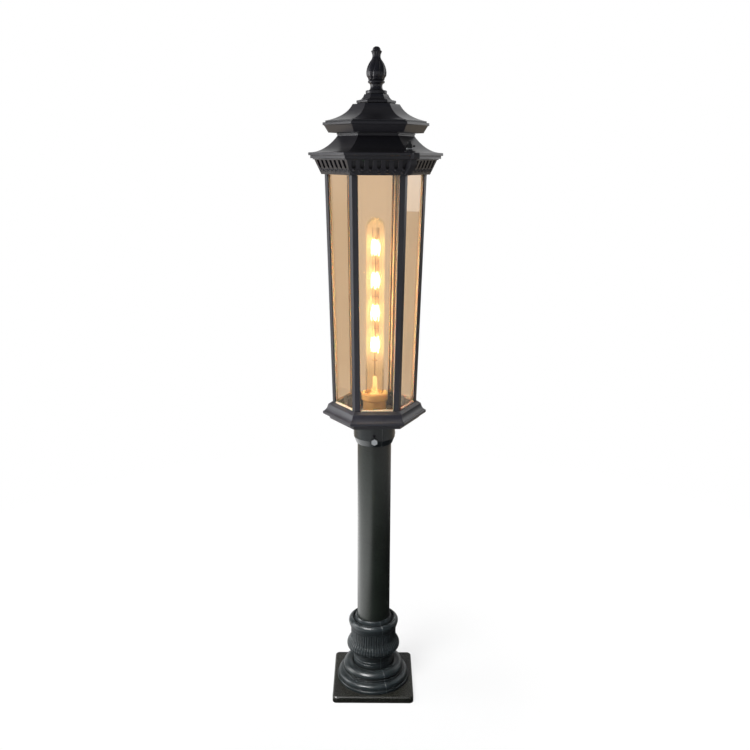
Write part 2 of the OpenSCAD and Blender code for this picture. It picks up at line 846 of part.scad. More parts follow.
neck_corner = 63.5;
module lower_roof() {
    e = eave_corner;
    n = neck_corner;
    w = roof_wall / flat;
    outside = raised(concat(
        [[e - 3.3, 0], [e - 3.3, 4.8], [e - 0.4, 4.8], [e, 5.2], [e, 9]],
        curve([e - 0.8, 9.4], [e - 27.1, 9.4], [n, 35.5], 12),
        [[n, 37.6], [n + 1.1, 38], [n + 1.1, 39.8], [n - 2.5, 39.8], [n - 2.5, 47.6]]
    ), roof_z);
    inside = raised(concat(
        [[e - 3.3 - w, -1], [e - 3.3 - w, 4.6]],
        curve([e - 3.7 - w, 6], [e - 30, 6.2], [n - 1.2 - w, 34], 10),
        [[n - 2.5 - w, 36], [n - 2.5 - w, 43.6], [44, 43.6], [44, 50]]
    ), roof_z);
    lug = hinge_out - knuckle_radius;
    color("#3f3d42")
        in_head()
            difference() {
                union() {
                    difference() {
                        six_sided(outside);
                        six_sided(inside);
                    }
                    rotate([0, 0, closure_turn]) {
                        translate([closure_out, 0, roof_z])
                            cylinder(r = 9.8, h = 12);
                        translate([closure_out, 0, roof_z + 8])
                            cylinder(r = 5.8, h = pad_z - roof_z - 8);
                        radial_web([
                            [e - 9.3, roof_z], [e + 2, roof_z], [e + 2.6, roof_z + 2],
                            [e + 2.6, roof_z + 7.4], [e + 2, roof_z + 8.9],
                            [e - 9.3, roof_z + 8.9]
                        ], 11);
                    }
                    rotate([0, 0, hinge_turn]) {
                        radial_web([
                            [e - 7.3, roof_z + 0.6], [lug, roof_z + 0.6],
                            [hinge_out, hinge_z - 3], [hinge_out, hinge_z + knuckle_radius],
                            [e - 7.3, roof_z + 8.4]
                        ], 10);
                        translate([hinge_out, 0, hinge_z]) rod_y(knuckle_radius, 10);
                    }
                }
                rotate([0, 0, closure_turn])
                    translate([closure_out, 0, 0]) {
                        cylinder(r = closure_radius + 0.1, h = pad_z + 20);
                        translate([0, 0, roof_z - 2]) cylinder(r = 6.5, h = 2 + 2 + lift);
                    }
                rotate([0, 0, hinge_turn])
                    translate([hinge_out, 0, hinge_z])
                        rod_y(hinge_pin_diameter / 2 + turning_clearance, 30);
            }
}

module upper_roof() {
    e = upper_eave_corner;
    w = roof_wall / flat;
    outside = raised(concat(
        [[e - 9.4, 0], [e - 2.3, 11.2], [e - 0.3, 11.7], [e, 12.1], [e, 15.6], [e - 0.4, 16]],
        [[e - 4.3, 16.3], [e - 4.3, 18.6]],
        curve([e - 5, 18.9], [48.6, 25.4], [38.5, 44.9], 12),
        [[31, 45.6], [31, 46.4], [32.3, 46.8], [32.3, 50], [31.8, 50.4]],
        curve([26, 51.6], [22, 53.4], [19.4, 60.2], 6)
    ), upper_z);
    inside = raised(concat(
        [[e - 9.4 - w, -0.1], [e - 2.3 - w, 11], [e - 4.6 - w, 14.4]],
        curve([e - 6 - w, 15.6], [46, 21.6], [35, 42], 10),
        [[26, 44], [26, 48], [15, 55.8]]
    ), upper_z);
    color("#403e43")
        in_head()
            difference() {
                union() {
                    difference() {
                        six_sided(outside);
                        six_sided(inside);
                    }
                    six_sided([[e - 7.6, collar_z + 0], [e - 7.6, collar_z + 3]]);
                }
                six_sided([[46, collar_z - 2], [46, collar_z + 5]]);
                cylinder(r = 4.3, h = 3000);
            }
}

module roof_bridge() {
    color("#8d9092")
        in_head()
            difference() {
                translate([-12, -47, collar_z - 8.2]) cube([24, 94, 4]);
                cylinder(r = 4.2, h = 3000);
            }
}

module tie_rod() {
    z0 = collar_z - 20;
    z1 = finial_z + 16;
    color("#a7aaac")
        in_head()
            turned([
                [0, z0], [3.2, z0], [4, z0 + 0.8], [4, z1 - 0.8], [3.2, z1], [0, z1]
            ]);
}

module bridge_washer() {
    color("#a7aaac")
        in_head() tube(8, 4.2, collar_z - 9.8, collar_z - 8.2);
}

module bridge_nut() {
    color("#a7aaac")
        in_head()
            translate([0, 0, collar_z - 16.3])
                difference() {
                    hex_bar(13, 6.5);
                    translate([0, 0, -1]) cylinder(r = 4 + screw_clearance, h = 9);
                }
}

module finial_base() {
    color("#2c2b30")
        in_head()
            translate([0, 0, finial_z])
                difference() {
                    turned(concat(
                        [[0, 0], [16.4, 0], [17.3, 1], [17.3, 4.9], [16.5, 5.6]],
                        curve([12.4, 6.2], [9.7, 7.4], [9.8, 12.4], 7),
                        curve([10, 14.6], [10.8, 16.4], [12.6, 17], 4),
                        curve([13.2, 17.4], [14.4, 19.2], [12.8, 21], 5),
                        [[11.8, 21.6], [0, 21.6]]
                    ));
                    translate([0, 0, -1]) cylinder(r = 4 + screw_clearance, h = 18.4);
                }
}

// the bud by height, radius and share of the groove depth
bud_rows = [
    [0, 11.6, 0.2], [0.7, 13, 0.6], [1.6, 13.7, 0.9], [2.4, 13.2, 1], [3.4, 13.8, 1],
    [5.2, 15.2, 1], [7.6, 16.1, 1], [12.2, 16.4, 1], [16.7, 15.7, 1], [21.3, 14.3, 1],
    [25.8, 12.1, 0.9], [29, 9.9, 0.75], [32, 7.8, 0.55], [35, 6.8, 0.4], [38.4, 6.8, 0.35],
    [41.4, 7.9, 0.6], [43.4, 9, 0.9], [44.6, 8.3, 0.6], [45.2, 6.5, 0.1],
    [47.4, 6.4, 0], [49.6, 5, 0], [51, 2.6, 0]
];
petal_wave = [1, 0.3, 0.04, 0, 0.04, 0.3];

module finial_bud() {
    n = 6 * petal_count;
    rows = len(bud_rows);
    points = concat(
        [
            for (row = bud_rows, i = [0 : n - 1])
                let (
                    a = 360 * i / n + 14 + row[0] * 0.5,
                    r = row[1] - petal_groove * row[2] * petal_wave[i % 6]
                )
                [r * cos(a), r * sin(a), row[0]]
        ],
        [[0, 0, 0], [0, 0, 51.4]]
    );
    sides = [
        for (j = [0 : rows - 2], i = [0 : n - 1])
            let (p = j * n + i, q = j * n + (i + 1) % n)
            each [[p, p + n, q], [q, p + n, q + n]]
    ];
    foot = [for (i = [0 : n - 1]) [rows * n, i, (i + 1) % n]];
    tip = [
        for (i = [0 : n - 1])
            [rows * n + 1, (rows - 1) * n + (i + 1) % n, (rows - 1) * n + i]
    ];
    color("#2a292e")
        in_head()
            translate([0, 0, finial_z + 21.6])
                polyhedron(points = points, faces = concat(sides, foot, tip), convexity = 4);
}

// ---------------------------------------------------------------- closure

module at_closure(z) {
    rotate([0, 0, head_turn + closure_turn])
        translate([closure_out, 0, z])
            children();
}

module closure_washer() {
    color("#77797b") at_closure(pad_z) tube(5.8, closure_radius + 0.1, 0, 1);
}

clip_z = roof_z + 1;
module closure_screw() {
    r = closure_radius;
    z0 = frieze_top - closure_depth;
    z1 = pad_z + 12;
    color("#2a2a2e")
        at_closure(0)
            turned([
                [0, z0], [r - 1, z0], [r, z0 + 1], [r, clip_z - 0.05], [r - 0.6, clip_z - 0.05],
                [r - 0.6, clip_z + 0.85], [r, clip_z + 0.85], [r, z1 - 0.6], [r - 0.6, z1], [0, z1]
            ]);
}

module wing_nut() {
    z = pad_z + 1;
    w = wing_span / 2;
    color("#2a2a2e")
        at_closure(z)
            difference() {
                union() {
                    turned([
                        [0, 0], [closure_radius + 1.9, 0], [closure_radius + 1.9, 1.6],
                        [closure_radius + 1.4, 6.4], [0, 6.4]
                    ]);
                    rotate([0, 0, 90])
                        rotate([90, 0, 0])
                            linear_extrude(height = 2, center = true)
                                union() {
                                    polygon([
                                        [-w + 2, 1.9], [w - 2, 1.9], [w - 0.6, 2.3], [w, 3.4],
                                        [w - 1, 5], [3, 4.4], [-3, 4.4], [1 - w, 5], [-w, 3.4],
                                        [0.6 - w, 2.3]
                                    ]);
                                }
                }
                translate([0, 0, -1]) cylinder(r = closure_radius + screw_clearance, h = 12);
            }
}

module retaining_clip() {
    color("#8d9092")
        at_closure(clip_z)
            difference() {
                tube(5.4, closure_radius - 0.6 + 0.05, 0, 0.8);
                translate([0, -1.9, -1]) cube([8, 3.8, 3]);
            }
}

// ---------------------------------------------------------------- bulb

bulb_radius = bulb_diameter / 2;
bulb_foot = mouth_z + 1;
dome_z = tray_z + bulb_top - bulb_radius;
cap_radius = shell_bore - 0.1;

function bulb_wall(r, top_r) = concat(
    [[r - 3.4, bulb_foot], [r - 2.6, bulb_foot + 2.4]],
    curve([r - 1.8, bulb_foot + 5], [r, bulb_foot + 8], [r, bulb_foot + 14], 4),
    [for (i = [0 : 8]) [r * cos(i * 11.25), dome_z + top_r * sin(i * 11.25)]]
);

module bulb_glass() {
    wall = 1;
    color("#e9c58a", 0.35)
        in_head()
            difference() {
                turned(concat(bulb_wall(bulb_radius, bulb_radius), [[0, bulb_foot]]));
                turned(concat(
                    [for (p = bulb_wall(bulb_radius - wall, bulb_radius - wall)) [p[0], p[1]]],
                    [[0, bulb_foot - 1], [bulb_radius - wall - 3.4, bulb_foot - 1]]
                ));
            }
}

module bulb_cap() {
    z0 = platform_z + 8.6;
    r = cap_radius;
    color("#c8b680")
        in_head()
            difference() {
                turned(concat(
                    [[0, z0], [6, z0], [11.6, z0 + 2.6]],
                    [for (i = [0 : 12]) [r - 0.5 + 0.5 * cos(i * 90), z0 + 3.4 + i * 0.9]],
                    [[r - 1, bulb_foot - 0.6], [r - 0.9, bulb_foot], [0, bulb_foot]]
                ));
                turned([
                    [0, z0 + 1], [5, z0 + 1], [10.6, z0 + 3.2], [r - 1.6, z0 + 4],
                    [r - 1.6, bulb_foot + 1], [0, bulb_foot + 1]
                ]);
            }
}

module bulb_contact() {
    z1 = platform_z + 8.6;
    color("#303030")
        in_head()
            turned([[0, z1 - 1.8], [2.6, z1 - 1.8], [3.2, z1 - 1.1], [5.4, z1], [0, z1]]);
}

module bulb_stem() {
    color("#e6d3ae", 0.5)
        in_head()
            turned(concat(
                [[0, bulb_foot + 0.2], [bulb_radius - 5, bulb_foot + 0.2]],
                curve([bulb_radius - 5, bulb_foot + 1], [4.4, bulb_foot + 6], [4, bulb_foot + 20], 6),
                [[3.2, bulb_foot + 34], [0, bulb_foot + 36]]
            ));
}

// the centre wire, its spacer discs and the groups of glowing wire between them
stem_top = bulb_foot + 36;
wire_span = dome_z - 16 - stem_top;
group_step = (wire_span - 18) / filament_groups;
group_foot = stem_top + wire_span - 4 - (filament_groups - 0.5) * group_step;

module filament_support() {
    color("#7d6a4a")
        in_head() {
            translate([0, 0, stem_top]) cylinder(r = 0.8, h = wire_span);
            for (i = [0 : filament_groups - 1])
                translate([0, 0, group_foot + i * group_step - group_step / 4])
                    tube(4.6, 0.7, 0, 0.8);
            translate([0, 0, stem_top + wire_span - 3]) tube(4.6, 0.7, 0, 0.8);
        }
}

module filament() {
    color("#ffcf7a")
        in_head()
            for (g = [0 : filament_groups - 1], i = [0 : 7])
                rotate([0, 0, 45 * i])
                    translate([5.6, 0, group_foot + (g + 0.25) * group_step])
                        rotate([i % 2 == 0 ? 7 : -7, 0, 0])
                            cylinder(r = 0.35, h = 0.5 * group_step, center = true);
}

// ---------------------------------------------------------------- nodes

base_plate();
pole();
base_casting();
fluted_collar();
collar_screws();
head_socket();
socket_hex_screws();
socket_grub_screws();
tray();
tray_bolts();
corner_post(0);  // corner_post_1
corner_post(1);  // corner_post_2
corner_post(2);  // corner_post_3
corner_post(3);  // corner_post_4
corner_post(4);  // corner_post_5
corner_post(5);  // corner_post_6
glass_pane(0);  // glass_pane_1
glass_pane(1);  // glass_pane_2
glass_pane(2);  // glass_pane_3
glass_pane(3);  // glass_pane_4
glass_pane(4);  // glass_pane_5
glass_pane(5);  // glass_pane_6
lower_clips();
upper_clips();
clip_screws();
frieze();
hinge_pin();
holder_bracket();
bracket_screws();
holder_nipple();
nipple_nut();
lamp_holder();
holder_shell();
holder_contact();
terminal_block();
lower_roof();
upper_roof();
roof_bridge();
tie_rod();
bridge_washer();
bridge_nut();
finial_base();
finial_bud();
closure_washer();
closure_screw();
wing_nut();
retaining_clip();
bulb_glass();
bulb_cap();
bulb_contact();
bulb_stem();
filament_support();
filament();
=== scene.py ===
# %% [markdown]
# # A lantern floor lamp
# The lamp's metalwork comes from the CAD model, already in place and in metres. This
# lesson gives every piece its real finish, models the parts that are too fine for a
# CAD solid (the glowing coils and their leads, the sealant along the glass, the small
# festoons on the frieze), and sets the lamp in a pale studio.

import math

import bmesh
import bpy
from mathutils import Matrix, Vector, noise


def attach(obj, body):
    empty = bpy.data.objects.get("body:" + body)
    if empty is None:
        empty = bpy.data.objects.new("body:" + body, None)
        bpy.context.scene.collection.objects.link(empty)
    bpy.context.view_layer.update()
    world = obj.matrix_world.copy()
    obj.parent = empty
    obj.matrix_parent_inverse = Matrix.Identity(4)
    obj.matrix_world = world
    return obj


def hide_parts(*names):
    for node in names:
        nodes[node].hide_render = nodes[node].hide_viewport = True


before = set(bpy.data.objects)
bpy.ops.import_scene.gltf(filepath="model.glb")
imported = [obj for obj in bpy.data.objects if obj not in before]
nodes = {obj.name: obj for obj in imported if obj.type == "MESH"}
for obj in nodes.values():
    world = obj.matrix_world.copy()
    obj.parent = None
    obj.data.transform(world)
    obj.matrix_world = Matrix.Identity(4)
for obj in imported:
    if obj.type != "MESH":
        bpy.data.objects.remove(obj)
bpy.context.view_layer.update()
print("pieces from the CAD model:", len(nodes))

# %% [markdown]
# ## Camera
# The picture was taken from the height of the lantern's eave, looking down by
# 14.5 degrees, from 1.44 m away, with the camera tipped a third of a degree. A pitched
# camera, and not a shifted one, gives the same slight narrowing of the pole towards
# the floor. The lens follows from the focal length in pixels of a 750 pixel picture.

# %% Camera
FOCAL_PIXELS = 846.0
PICTURE_PIXELS = 750.0
SENSOR_MM = 36.0
CAMERA_PLACE = (0.0004, -1.439, 0.980)
LOOKS_DOWN, TIPPED = 14.5, 0.32  # degrees

camera_data = bpy.data.cameras.new("studio_camera")
camera_data.sensor_width = SENSOR_MM
camera_data.lens = FOCAL_PIXELS / PICTURE_PIXELS * SENSOR_MM
camera = bpy.data.objects.new("studio_camera", camera_data)
camera.matrix_world = (
    Matrix.Translation(CAMERA_PLACE)
    @ Matrix.Rotation(math.radians(90 - LOOKS_DOWN), 4, "X")
    @ Matrix.Rotation(math.radians(TIPPED), 4, "Z"))
bpy.context.scene.collection.objects.link(camera)
bpy.context.scene.camera = camera
print("lens in mm:", round(camera_data.lens, 2))

# %% [markdown]
# ## Colour and node helpers
# Colours are written as sRGB hex values, as a paint chart gives them, and turned to the
# linear values that shaders work with. One small function adds any node, sets it and
# joins its inputs, so that a material reads as a short list.

# %% Colour and node helpers
def linear(hex_colour):
    """The linear RGBA of an sRGB hex colour."""
    parts = [int(hex_colour[i:i + 2], 16) / 255 for i in (1, 3, 5)]
    return [c / 12.92 if c <= 0.04045 else ((c + 0.055) / 1.055) ** 2.4 for c in parts] + [1.0]


def add_node(tree, kind, inputs=None, **settings):
    """Adds a node; inputs maps a socket to a value or to another node's output."""
    node = tree.nodes.new(kind)
    for name, value in settings.items():
        setattr(node, name, value)
    for key, value in (inputs or {}).items():
        if isinstance(value, bpy.types.NodeSocket):
            tree.links.new(value, node.inputs[key])
        else:
            node.inputs[key].default_value = value
    return node


def new_material(name):
    """An empty material and its tree, with the output node in it."""
    material = bpy.data.materials.new(name)
    material.use_nodes = True
    tree = material.node_tree
    tree.nodes.clear()
    return material, tree, tree.nodes.new("ShaderNodeOutputMaterial")


def dress(material, *names):
    """Gives CAD nodes a finish."""
    for name in names:
        mesh = nodes[name].data
        mesh.materials.clear()
        mesh.materials.append(material)


# %% [markdown]
# ## Powder coat: worn edges and a painted highlight
# The lantern, the castings, the pole and the plate are powder coated: sprayed with dry
# powder and baked. The coat flows as it bakes, which softens every edge, and it draws
# back from sharp edges, where it ends up thinner and lighter. The paler colour painted
# along the edges stands partly for that thin coat and partly for a painted highlight.
# A Bevel node gives a rounded normal and leaves the mesh alone. Where that normal
# differs from the true one, there is an edge.

# %% Worn edges and painted highlight
EDGE_ROUNDING = 0.0009  # metres


def worn_and_highlit_edges(tree):
    """The rounded normal, and how pale each point on a rounded rim is painted: wear and a
    painted highlight.
    """
    rounded = add_node(tree, "ShaderNodeBevel", {"Radius": EDGE_ROUNDING}, samples=4)
    solid = add_node(tree, "ShaderNodeNewGeometry")
    agree = add_node(tree, "ShaderNodeVectorMath", {
        0: rounded.outputs["Normal"], 1: solid.outputs["Normal"]}, operation="DOT_PRODUCT")
    # painted highlight: edges are painted paler, partly as thin coat and partly as a highlight
    wear_and_highlight = add_node(tree, "ShaderNodeMapRange", {
        "Value": agree.outputs["Value"], "From Min": 0.99, "From Max": 0.86,
        "To Min": 0.0, "To Max": 0.42})
    return rounded.outputs["Normal"], wear_and_highlight.outputs["Result"]


# %% [markdown]
# ## Powder coat: dust, and dirt with painted shade
# Dust settles on the faces that look up, so it follows the Z of the normal, and the
# grain of the coat breaks it up. Grooves and inner corners are painted dark and matt:
# partly dirt that stays there, partly painted shade where shade falls. The Ambient
# Occlusion node finds those places on any shape.

# %% Dust, and dirt with painted shade
GROOVE_WIDTH = 0.005  # metres


def settled_dust(tree, grain, dust):
    """How much dust lies on each point; dust is the most, on level faces."""
    solid = add_node(tree, "ShaderNodeNewGeometry")
    upward = add_node(tree, "ShaderNodeSeparateXYZ", {"Vector": solid.outputs["Normal"]})
    settled = add_node(tree, "ShaderNodeMapRange", {
        "Value": upward.outputs["Z"], "From Min": 0.35, "From Max": 1.0,
        "To Min": 0.0, "To Max": dust})
    speckle = add_node(tree, "ShaderNodeMath", {
        0: settled.outputs["Result"], 1: grain}, operation="MULTIPLY")
    return speckle.outputs["Value"]


def groove_dirt_and_shade(tree):
    """How dark and matt each point is painted, partly as grime and partly as painted shade."""
    # painted shade: grooves and inner corners go dark, partly dirt and partly shade
    open_sky = add_node(
        tree, "ShaderNodeAmbientOcclusion", {"Distance": GROOVE_WIDTH}, samples=4)
    groove = add_node(tree, "ShaderNodeMapRange", {
        "Value": open_sky.outputs["AO"], "From Min": 0.35, "From Max": 0.85,
        "To Min": 0.85, "To Max": 0.0})
    return groove.outputs["Result"]


# %% [markdown]
# ## Powder coat: the mould's parting line
# The two halves of a sand mould never close quite tightly, and leave a fine ridge in
# one plane through the axis. The coat is thin on it, so the ridge is paler as well as
# raised. A point's distance from the plane is the dot product of its place and the
# plane's normal.

# %% Parting line
RIDGE_HALF_WIDTH = 0.0007  # metres
RIDGE_HEIGHT = 9.0  # in heights of the orange peel


def parting_ridge(tree, place, plane):
    """The height of the ridge, nought away from the parting plane."""
    off = add_node(tree, "ShaderNodeVectorMath", {
        0: place, 1: plane}, operation="DOT_PRODUCT")
    aside = add_node(tree, "ShaderNodeMath", {0: off.outputs["Value"]}, operation="ABSOLUTE")
    ridge = add_node(tree, "ShaderNodeMapRange", {
        "Value": aside.outputs["Value"], "From Min": 0.0, "From Max": RIDGE_HALF_WIDTH,
        "To Min": RIDGE_HEIGHT, "To Max": 0.0})
    return ridge.outputs["Result"]


# %% [markdown]
# ## Powder coat: the whole coat
# As it flows, the coat also keeps an orange peel, waves about 2 mm across. Its gloss
# varies with the grain, and its colour drifts in clouds the size of a hand. One
# function makes all the coats, because they differ in colour, gloss and grain alone.
#
# The true grain of the sand mould is finer than the render can show, so it is drawn
# about three times as coarse as it is.

# %% Powder coat
CLOUDS_PER_METRE = 14.0  # one in about 70 mm
# the dark colour in grooves and corners stands for dirt and for painted shade
PALE_DUST, DIRT_AND_SHADE_COLOUR, THIN_COAT = "#8d8880", "#0c0c0a", "#8f979a"
PALER_BY_RIDGE = 0.04


def powder_coat(name, body, pale, roughness, peel_mm, peel_depth_mm, grain_mm, dust,
                seam=None):
    """A baked powder coat: colour, paler edges with a painted highlight, orange peel, dust, and
    grime with painted shade.
    """
    material, tree, output = new_material(name)
    place = add_node(tree, "ShaderNodeTexCoord").outputs["Object"]
    blotch = add_node(tree, "ShaderNodeTexNoise", {
        "Vector": place, "Scale": CLOUDS_PER_METRE, "Detail": 4.0, "Roughness": 0.6})
    grain = add_node(tree, "ShaderNodeTexNoise", {
        "Vector": place, "Scale": 1000 / grain_mm, "Detail": 2.0})
    peel = add_node(tree, "ShaderNodeTexNoise", {
        "Vector": place, "Scale": 1000 / peel_mm, "Detail": 1.0})
    waves = add_node(tree, "ShaderNodeMath", {
        0: peel.outputs["Fac"], 1: grain.outputs["Fac"]}, operation="ADD")
    normal, wear_and_highlight = worn_and_highlit_edges(tree)
    cloud = add_node(tree, "ShaderNodeMapRange", {
        "Value": blotch.outputs["Fac"], "From Min": 0.35, "From Max": 0.7,
        "To Min": 0.0, "To Max": 0.3})
    shade = add_node(tree, "ShaderNodeMix", {
        "Factor": cloud.outputs["Result"], "A": linear(body), "B": linear(pale)},
        data_type="RGBA")
    # the pale edge colour: partly wear of the coat, partly a painted highlight
    worn_and_highlit = add_node(tree, "ShaderNodeMix", {
        "Factor": wear_and_highlight, "A": shade.outputs["Result"], "B": linear(pale)}, data_type="RGBA")
    colour, height = worn_and_highlit.outputs["Result"], waves.outputs["Value"]
    if seam:
        ridge = parting_ridge(tree, place, seam)
        raised = add_node(tree, "ShaderNodeMath", {0: height, 1: ridge}, operation="ADD")
        thin = add_node(tree, "ShaderNodeMath", {
            0: ridge, 1: PALER_BY_RIDGE}, operation="MULTIPLY")
        bare = add_node(tree, "ShaderNodeMix", {
            "Factor": thin.outputs["Value"], "A": colour, "B": linear(THIN_COAT)},
            data_type="RGBA")
        colour, height = bare.outputs["Result"], raised.outputs["Value"]
    dusty = add_node(tree, "ShaderNodeMix", {
        "Factor": settled_dust(tree, grain.outputs["Fac"], dust), "A": colour,
        "B": linear(PALE_DUST)}, data_type="RGBA")
    # grooves and corners painted dark: partly dirt, partly painted shade
    dirt_and_shade = groove_dirt_and_shade(tree)
    soiled_and_shaded = add_node(tree, "ShaderNodeMix", {
        "Factor": dirt_and_shade, "A": dusty.outputs["Result"], "B": linear(DIRT_AND_SHADE_COLOUR)},
        data_type="RGBA")
    rough = add_node(tree, "ShaderNodeMapRange", {
        "Value": grain.outputs["Fac"], "From Min": 0.3, "From Max": 0.7,
        "To Min": roughness - 0.05, "To Max": roughness + 0.06})
    matt = add_node(tree, "ShaderNodeMath", {
        0: dirt_and_shade, 1: 0.45, 2: rough.outputs["Result"]},
        operation="MULTIPLY_ADD", use_clamp=True)
    relief = add_node(tree, "ShaderNodeBump", {
        "Height": height, "Distance": peel_depth_mm / 1000, "Strength": 0.6,
        "Normal": normal})
    coat = add_node(tree, "ShaderNodeBsdfPrincipled", {
        "Base Color": soiled_and_shaded.outputs["Result"], "Roughness": matt.outputs["Value"],
        "IOR": 1.5, "Normal": relief.outputs["Normal"]})
    tree.links.new(coat.outputs["BSDF"], output.inputs["Surface"])
    return material


# %% [markdown]
# ## Five coats
# The lantern is satin black with a violet cast. The foot castings have a blue-black
# coat over a sand-cast skin, with the mould's parting line a little right of the front.
# The sawn plate is brown-black. The pole is smooth drawn pipe, green-black, with the
# longest and shallowest waves. The closure's screw and wing nut have a thin matt black
# enamel, because a thick coat would fill the thread.

# %% Coats on the metalwork
PARTING_ANGLE = math.radians(-68)
parting_plane = (math.sin(PARTING_ANGLE), -math.cos(PARTING_ANGLE), 0.0)

lantern_coat = powder_coat(
    "powder_coat_satin_black", body="#23232c", pale="#47454c", roughness=0.34,
    peel_mm=2.2, peel_depth_mm=0.03, grain_mm=0.8, dust=0.25)
casting_coat = powder_coat(
    "powder_coat_on_sand_casting", body="#171e20", pale="#333c40", roughness=0.31,
    peel_mm=1.6, peel_depth_mm=0.06, grain_mm=1.1, dust=0.06, seam=parting_plane)
plate_coat = powder_coat(
    "powder_coat_on_steel_plate", body="#0d0f0a", pale="#2e2f26", roughness=0.26,
    peel_mm=2.0, peel_depth_mm=0.05, grain_mm=0.9, dust=0.08)
pole_coat = powder_coat(
    "powder_coat_gloss_on_pipe", body="#101611", pale="#28302a", roughness=0.30,
    peel_mm=3.0, peel_depth_mm=0.02, grain_mm=0.7, dust=0.1)
closure_enamel = powder_coat(
    "enamel_black_on_closure", body="#0f0f12", pale="#242327", roughness=0.4,
    peel_mm=2.2, peel_depth_mm=0.03, grain_mm=0.8, dust=0.05)

posts = [f"corner_post_{k}" for k in range(1, 7)]
panes = [f"glass_pane_{k}" for k in range(1, 7)]
dress(lantern_coat, "tray", "frieze", "lower_roof", "upper_roof", "finial_base",
      "finial_bud", *posts)
dress(casting_coat, "base_casting", "fluted_collar", "head_socket")
dress(plate_coat, "base_plate")
dress(pole_coat, "pole")
dress(closure_enamel, "closure_screw", "wing_nut")
print("powder coats:", 5)

# %% [markdown]
# ## Amber glass
# The panes are 4 mm float glass, coloured in the melt, so the tint belongs to the glass
# and a look through two panes is deeper than through one. A refracting shader with the
# tint as its colour does that, because light is tinted on its way through each pane.
# Float glass is smooth, and only faint smears, a hand's breadth apart, break its
# reflection up. The panes throw no shadow, so that the studio light reaches the lamp
# holder and the bulb inside.

# %% Amber glass
def tinted_glass(name, tint, roughness, smear_mm):
    """Glass coloured in the mass, with a faintly smeared surface."""
    material, tree, output = new_material(name)
    place = add_node(tree, "ShaderNodeTexCoord")
    smear = add_node(tree, "ShaderNodeTexNoise", {
        "Vector": place.outputs["Object"], "Scale": 1000 / smear_mm, "Detail": 5.0})
    rough = add_node(tree, "ShaderNodeMapRange", {
        "Value": smear.outputs["Fac"], "From Min": 0.45, "From Max": 0.75,
        "To Min": roughness, "To Max": roughness + 0.04})
    glass = add_node(tree, "ShaderNodeBsdfPrincipled", {
        "Base Color": linear(tint), "Roughness": rough.outputs["Result"],
        "IOR": 1.5, "Transmission Weight": 1.0})
    tree.links.new(glass.outputs["BSDF"], output.inputs["Surface"])
    return material


dress(tinted_glass("float_glass_amber", tint="#e7d4bc", roughness=0.0, smear_mm=60), *panes)
for name in panes + ["bulb_glass", "bulb_stem"]:
    nodes[name].visible_shadow = False
print("panes:", len(panes))

# %% [markdown]
# ## The bulb's glass: a painted halo beside each group of coils
# The glass and the air in the tube are lit up beside each group of coils, which the eye
# takes for a halo. Here the halo is painted: the glass itself glows in four soft bands,
# placed by height with a ping-pong of the Object Z, so the painted halo stays on the
# tube from every side. It fades towards the cap and the tip.

# %% Painted halo bands
GROUP_HEIGHTS = [0.663, 0.719, 0.775, 0.831]
GROUP_STEP = 0.056
HALO_CORE, HALO_EDGE = 0.007, 0.026
FOOT_FADE, TIP_FADE = (0.612, 0.652), (0.846, 0.880)


def halo(tree, place, foot):
    """The painted glow bands beside the coils, and the level of the whole painted glow by
    height.
    """
    axis = add_node(tree, "ShaderNodeSeparateXYZ", {"Vector": place})
    raised = add_node(tree, "ShaderNodeMath", {
        0: axis.outputs["Z"], 1: GROUP_HEIGHTS[0]}, operation="SUBTRACT")
    away = add_node(tree, "ShaderNodeMath", {
        0: raised.outputs["Value"], 1: GROUP_STEP / 2}, operation="PINGPONG")
    # painted glow: bands of emission on the glass, which is no lamp
    band = add_node(tree, "ShaderNodeMapRange", {
        "Value": away.outputs["Value"], "From Min": HALO_CORE, "From Max": HALO_EDGE,
        "To Min": 1.0, "To Max": 0.0}, interpolation_type="SMOOTHSTEP")
    lift = add_node(tree, "ShaderNodeMapRange", {
        "Value": band.outputs["Result"], "To Min": 0.75, "To Max": 1.0})
    foot_end = add_node(tree, "ShaderNodeMapRange", {
        "Value": axis.outputs["Z"], "From Min": FOOT_FADE[0], "From Max": FOOT_FADE[1],
        "To Min": foot, "To Max": 1.0}, interpolation_type="SMOOTHSTEP")
    tip_end = add_node(tree, "ShaderNodeMapRange", {
        "Value": axis.outputs["Z"], "From Min": TIP_FADE[0], "From Max": TIP_FADE[1],
        "To Min": 1.0, "To Max": 0.3}, interpolation_type="SMOOTHSTEP")
    ends = add_node(tree, "ShaderNodeMath", {
        0: foot_end.outputs["Result"], 1: tip_end.outputs["Result"]}, operation="MULTIPLY")
    level = add_node(tree, "ShaderNodeMath", {
        0: lift.outputs["Result"], 1: ends.outputs["Value"]}, operation="MULTIPLY")
    return band.outputs["Result"], level.outputs["Value"]


# %% [markdown]
# ## The bulb's glass: drawn lines
# Tubing is drawn from the melt, which leaves fine upright lines in it. A radial
# gradient rises from nought to one round the axis, and the sine of many turns of it
# makes the lines. They ripple the surface, and the painted glow is stronger on their crests.

# %% Drawn lines
TUBE_LINES = 44


def drawn_lines(tree, place):
    """A wave round the axis, from -1 to 1, with a crest for each line."""
    turn = add_node(
        tree, "ShaderNodeTexGradient", {"Vector": place}, gradient_type="RADIAL")
    counted = add_node(tree, "ShaderNodeMath", {
        0: turn.outputs["Fac"], 1: TUBE_LINES * 2 * math.pi}, operation="MULTIPLY")
    line = add_node(tree, "ShaderNodeMath", {0: counted.outputs["Value"]}, operation="SINE")
    return line.outputs["Value"]
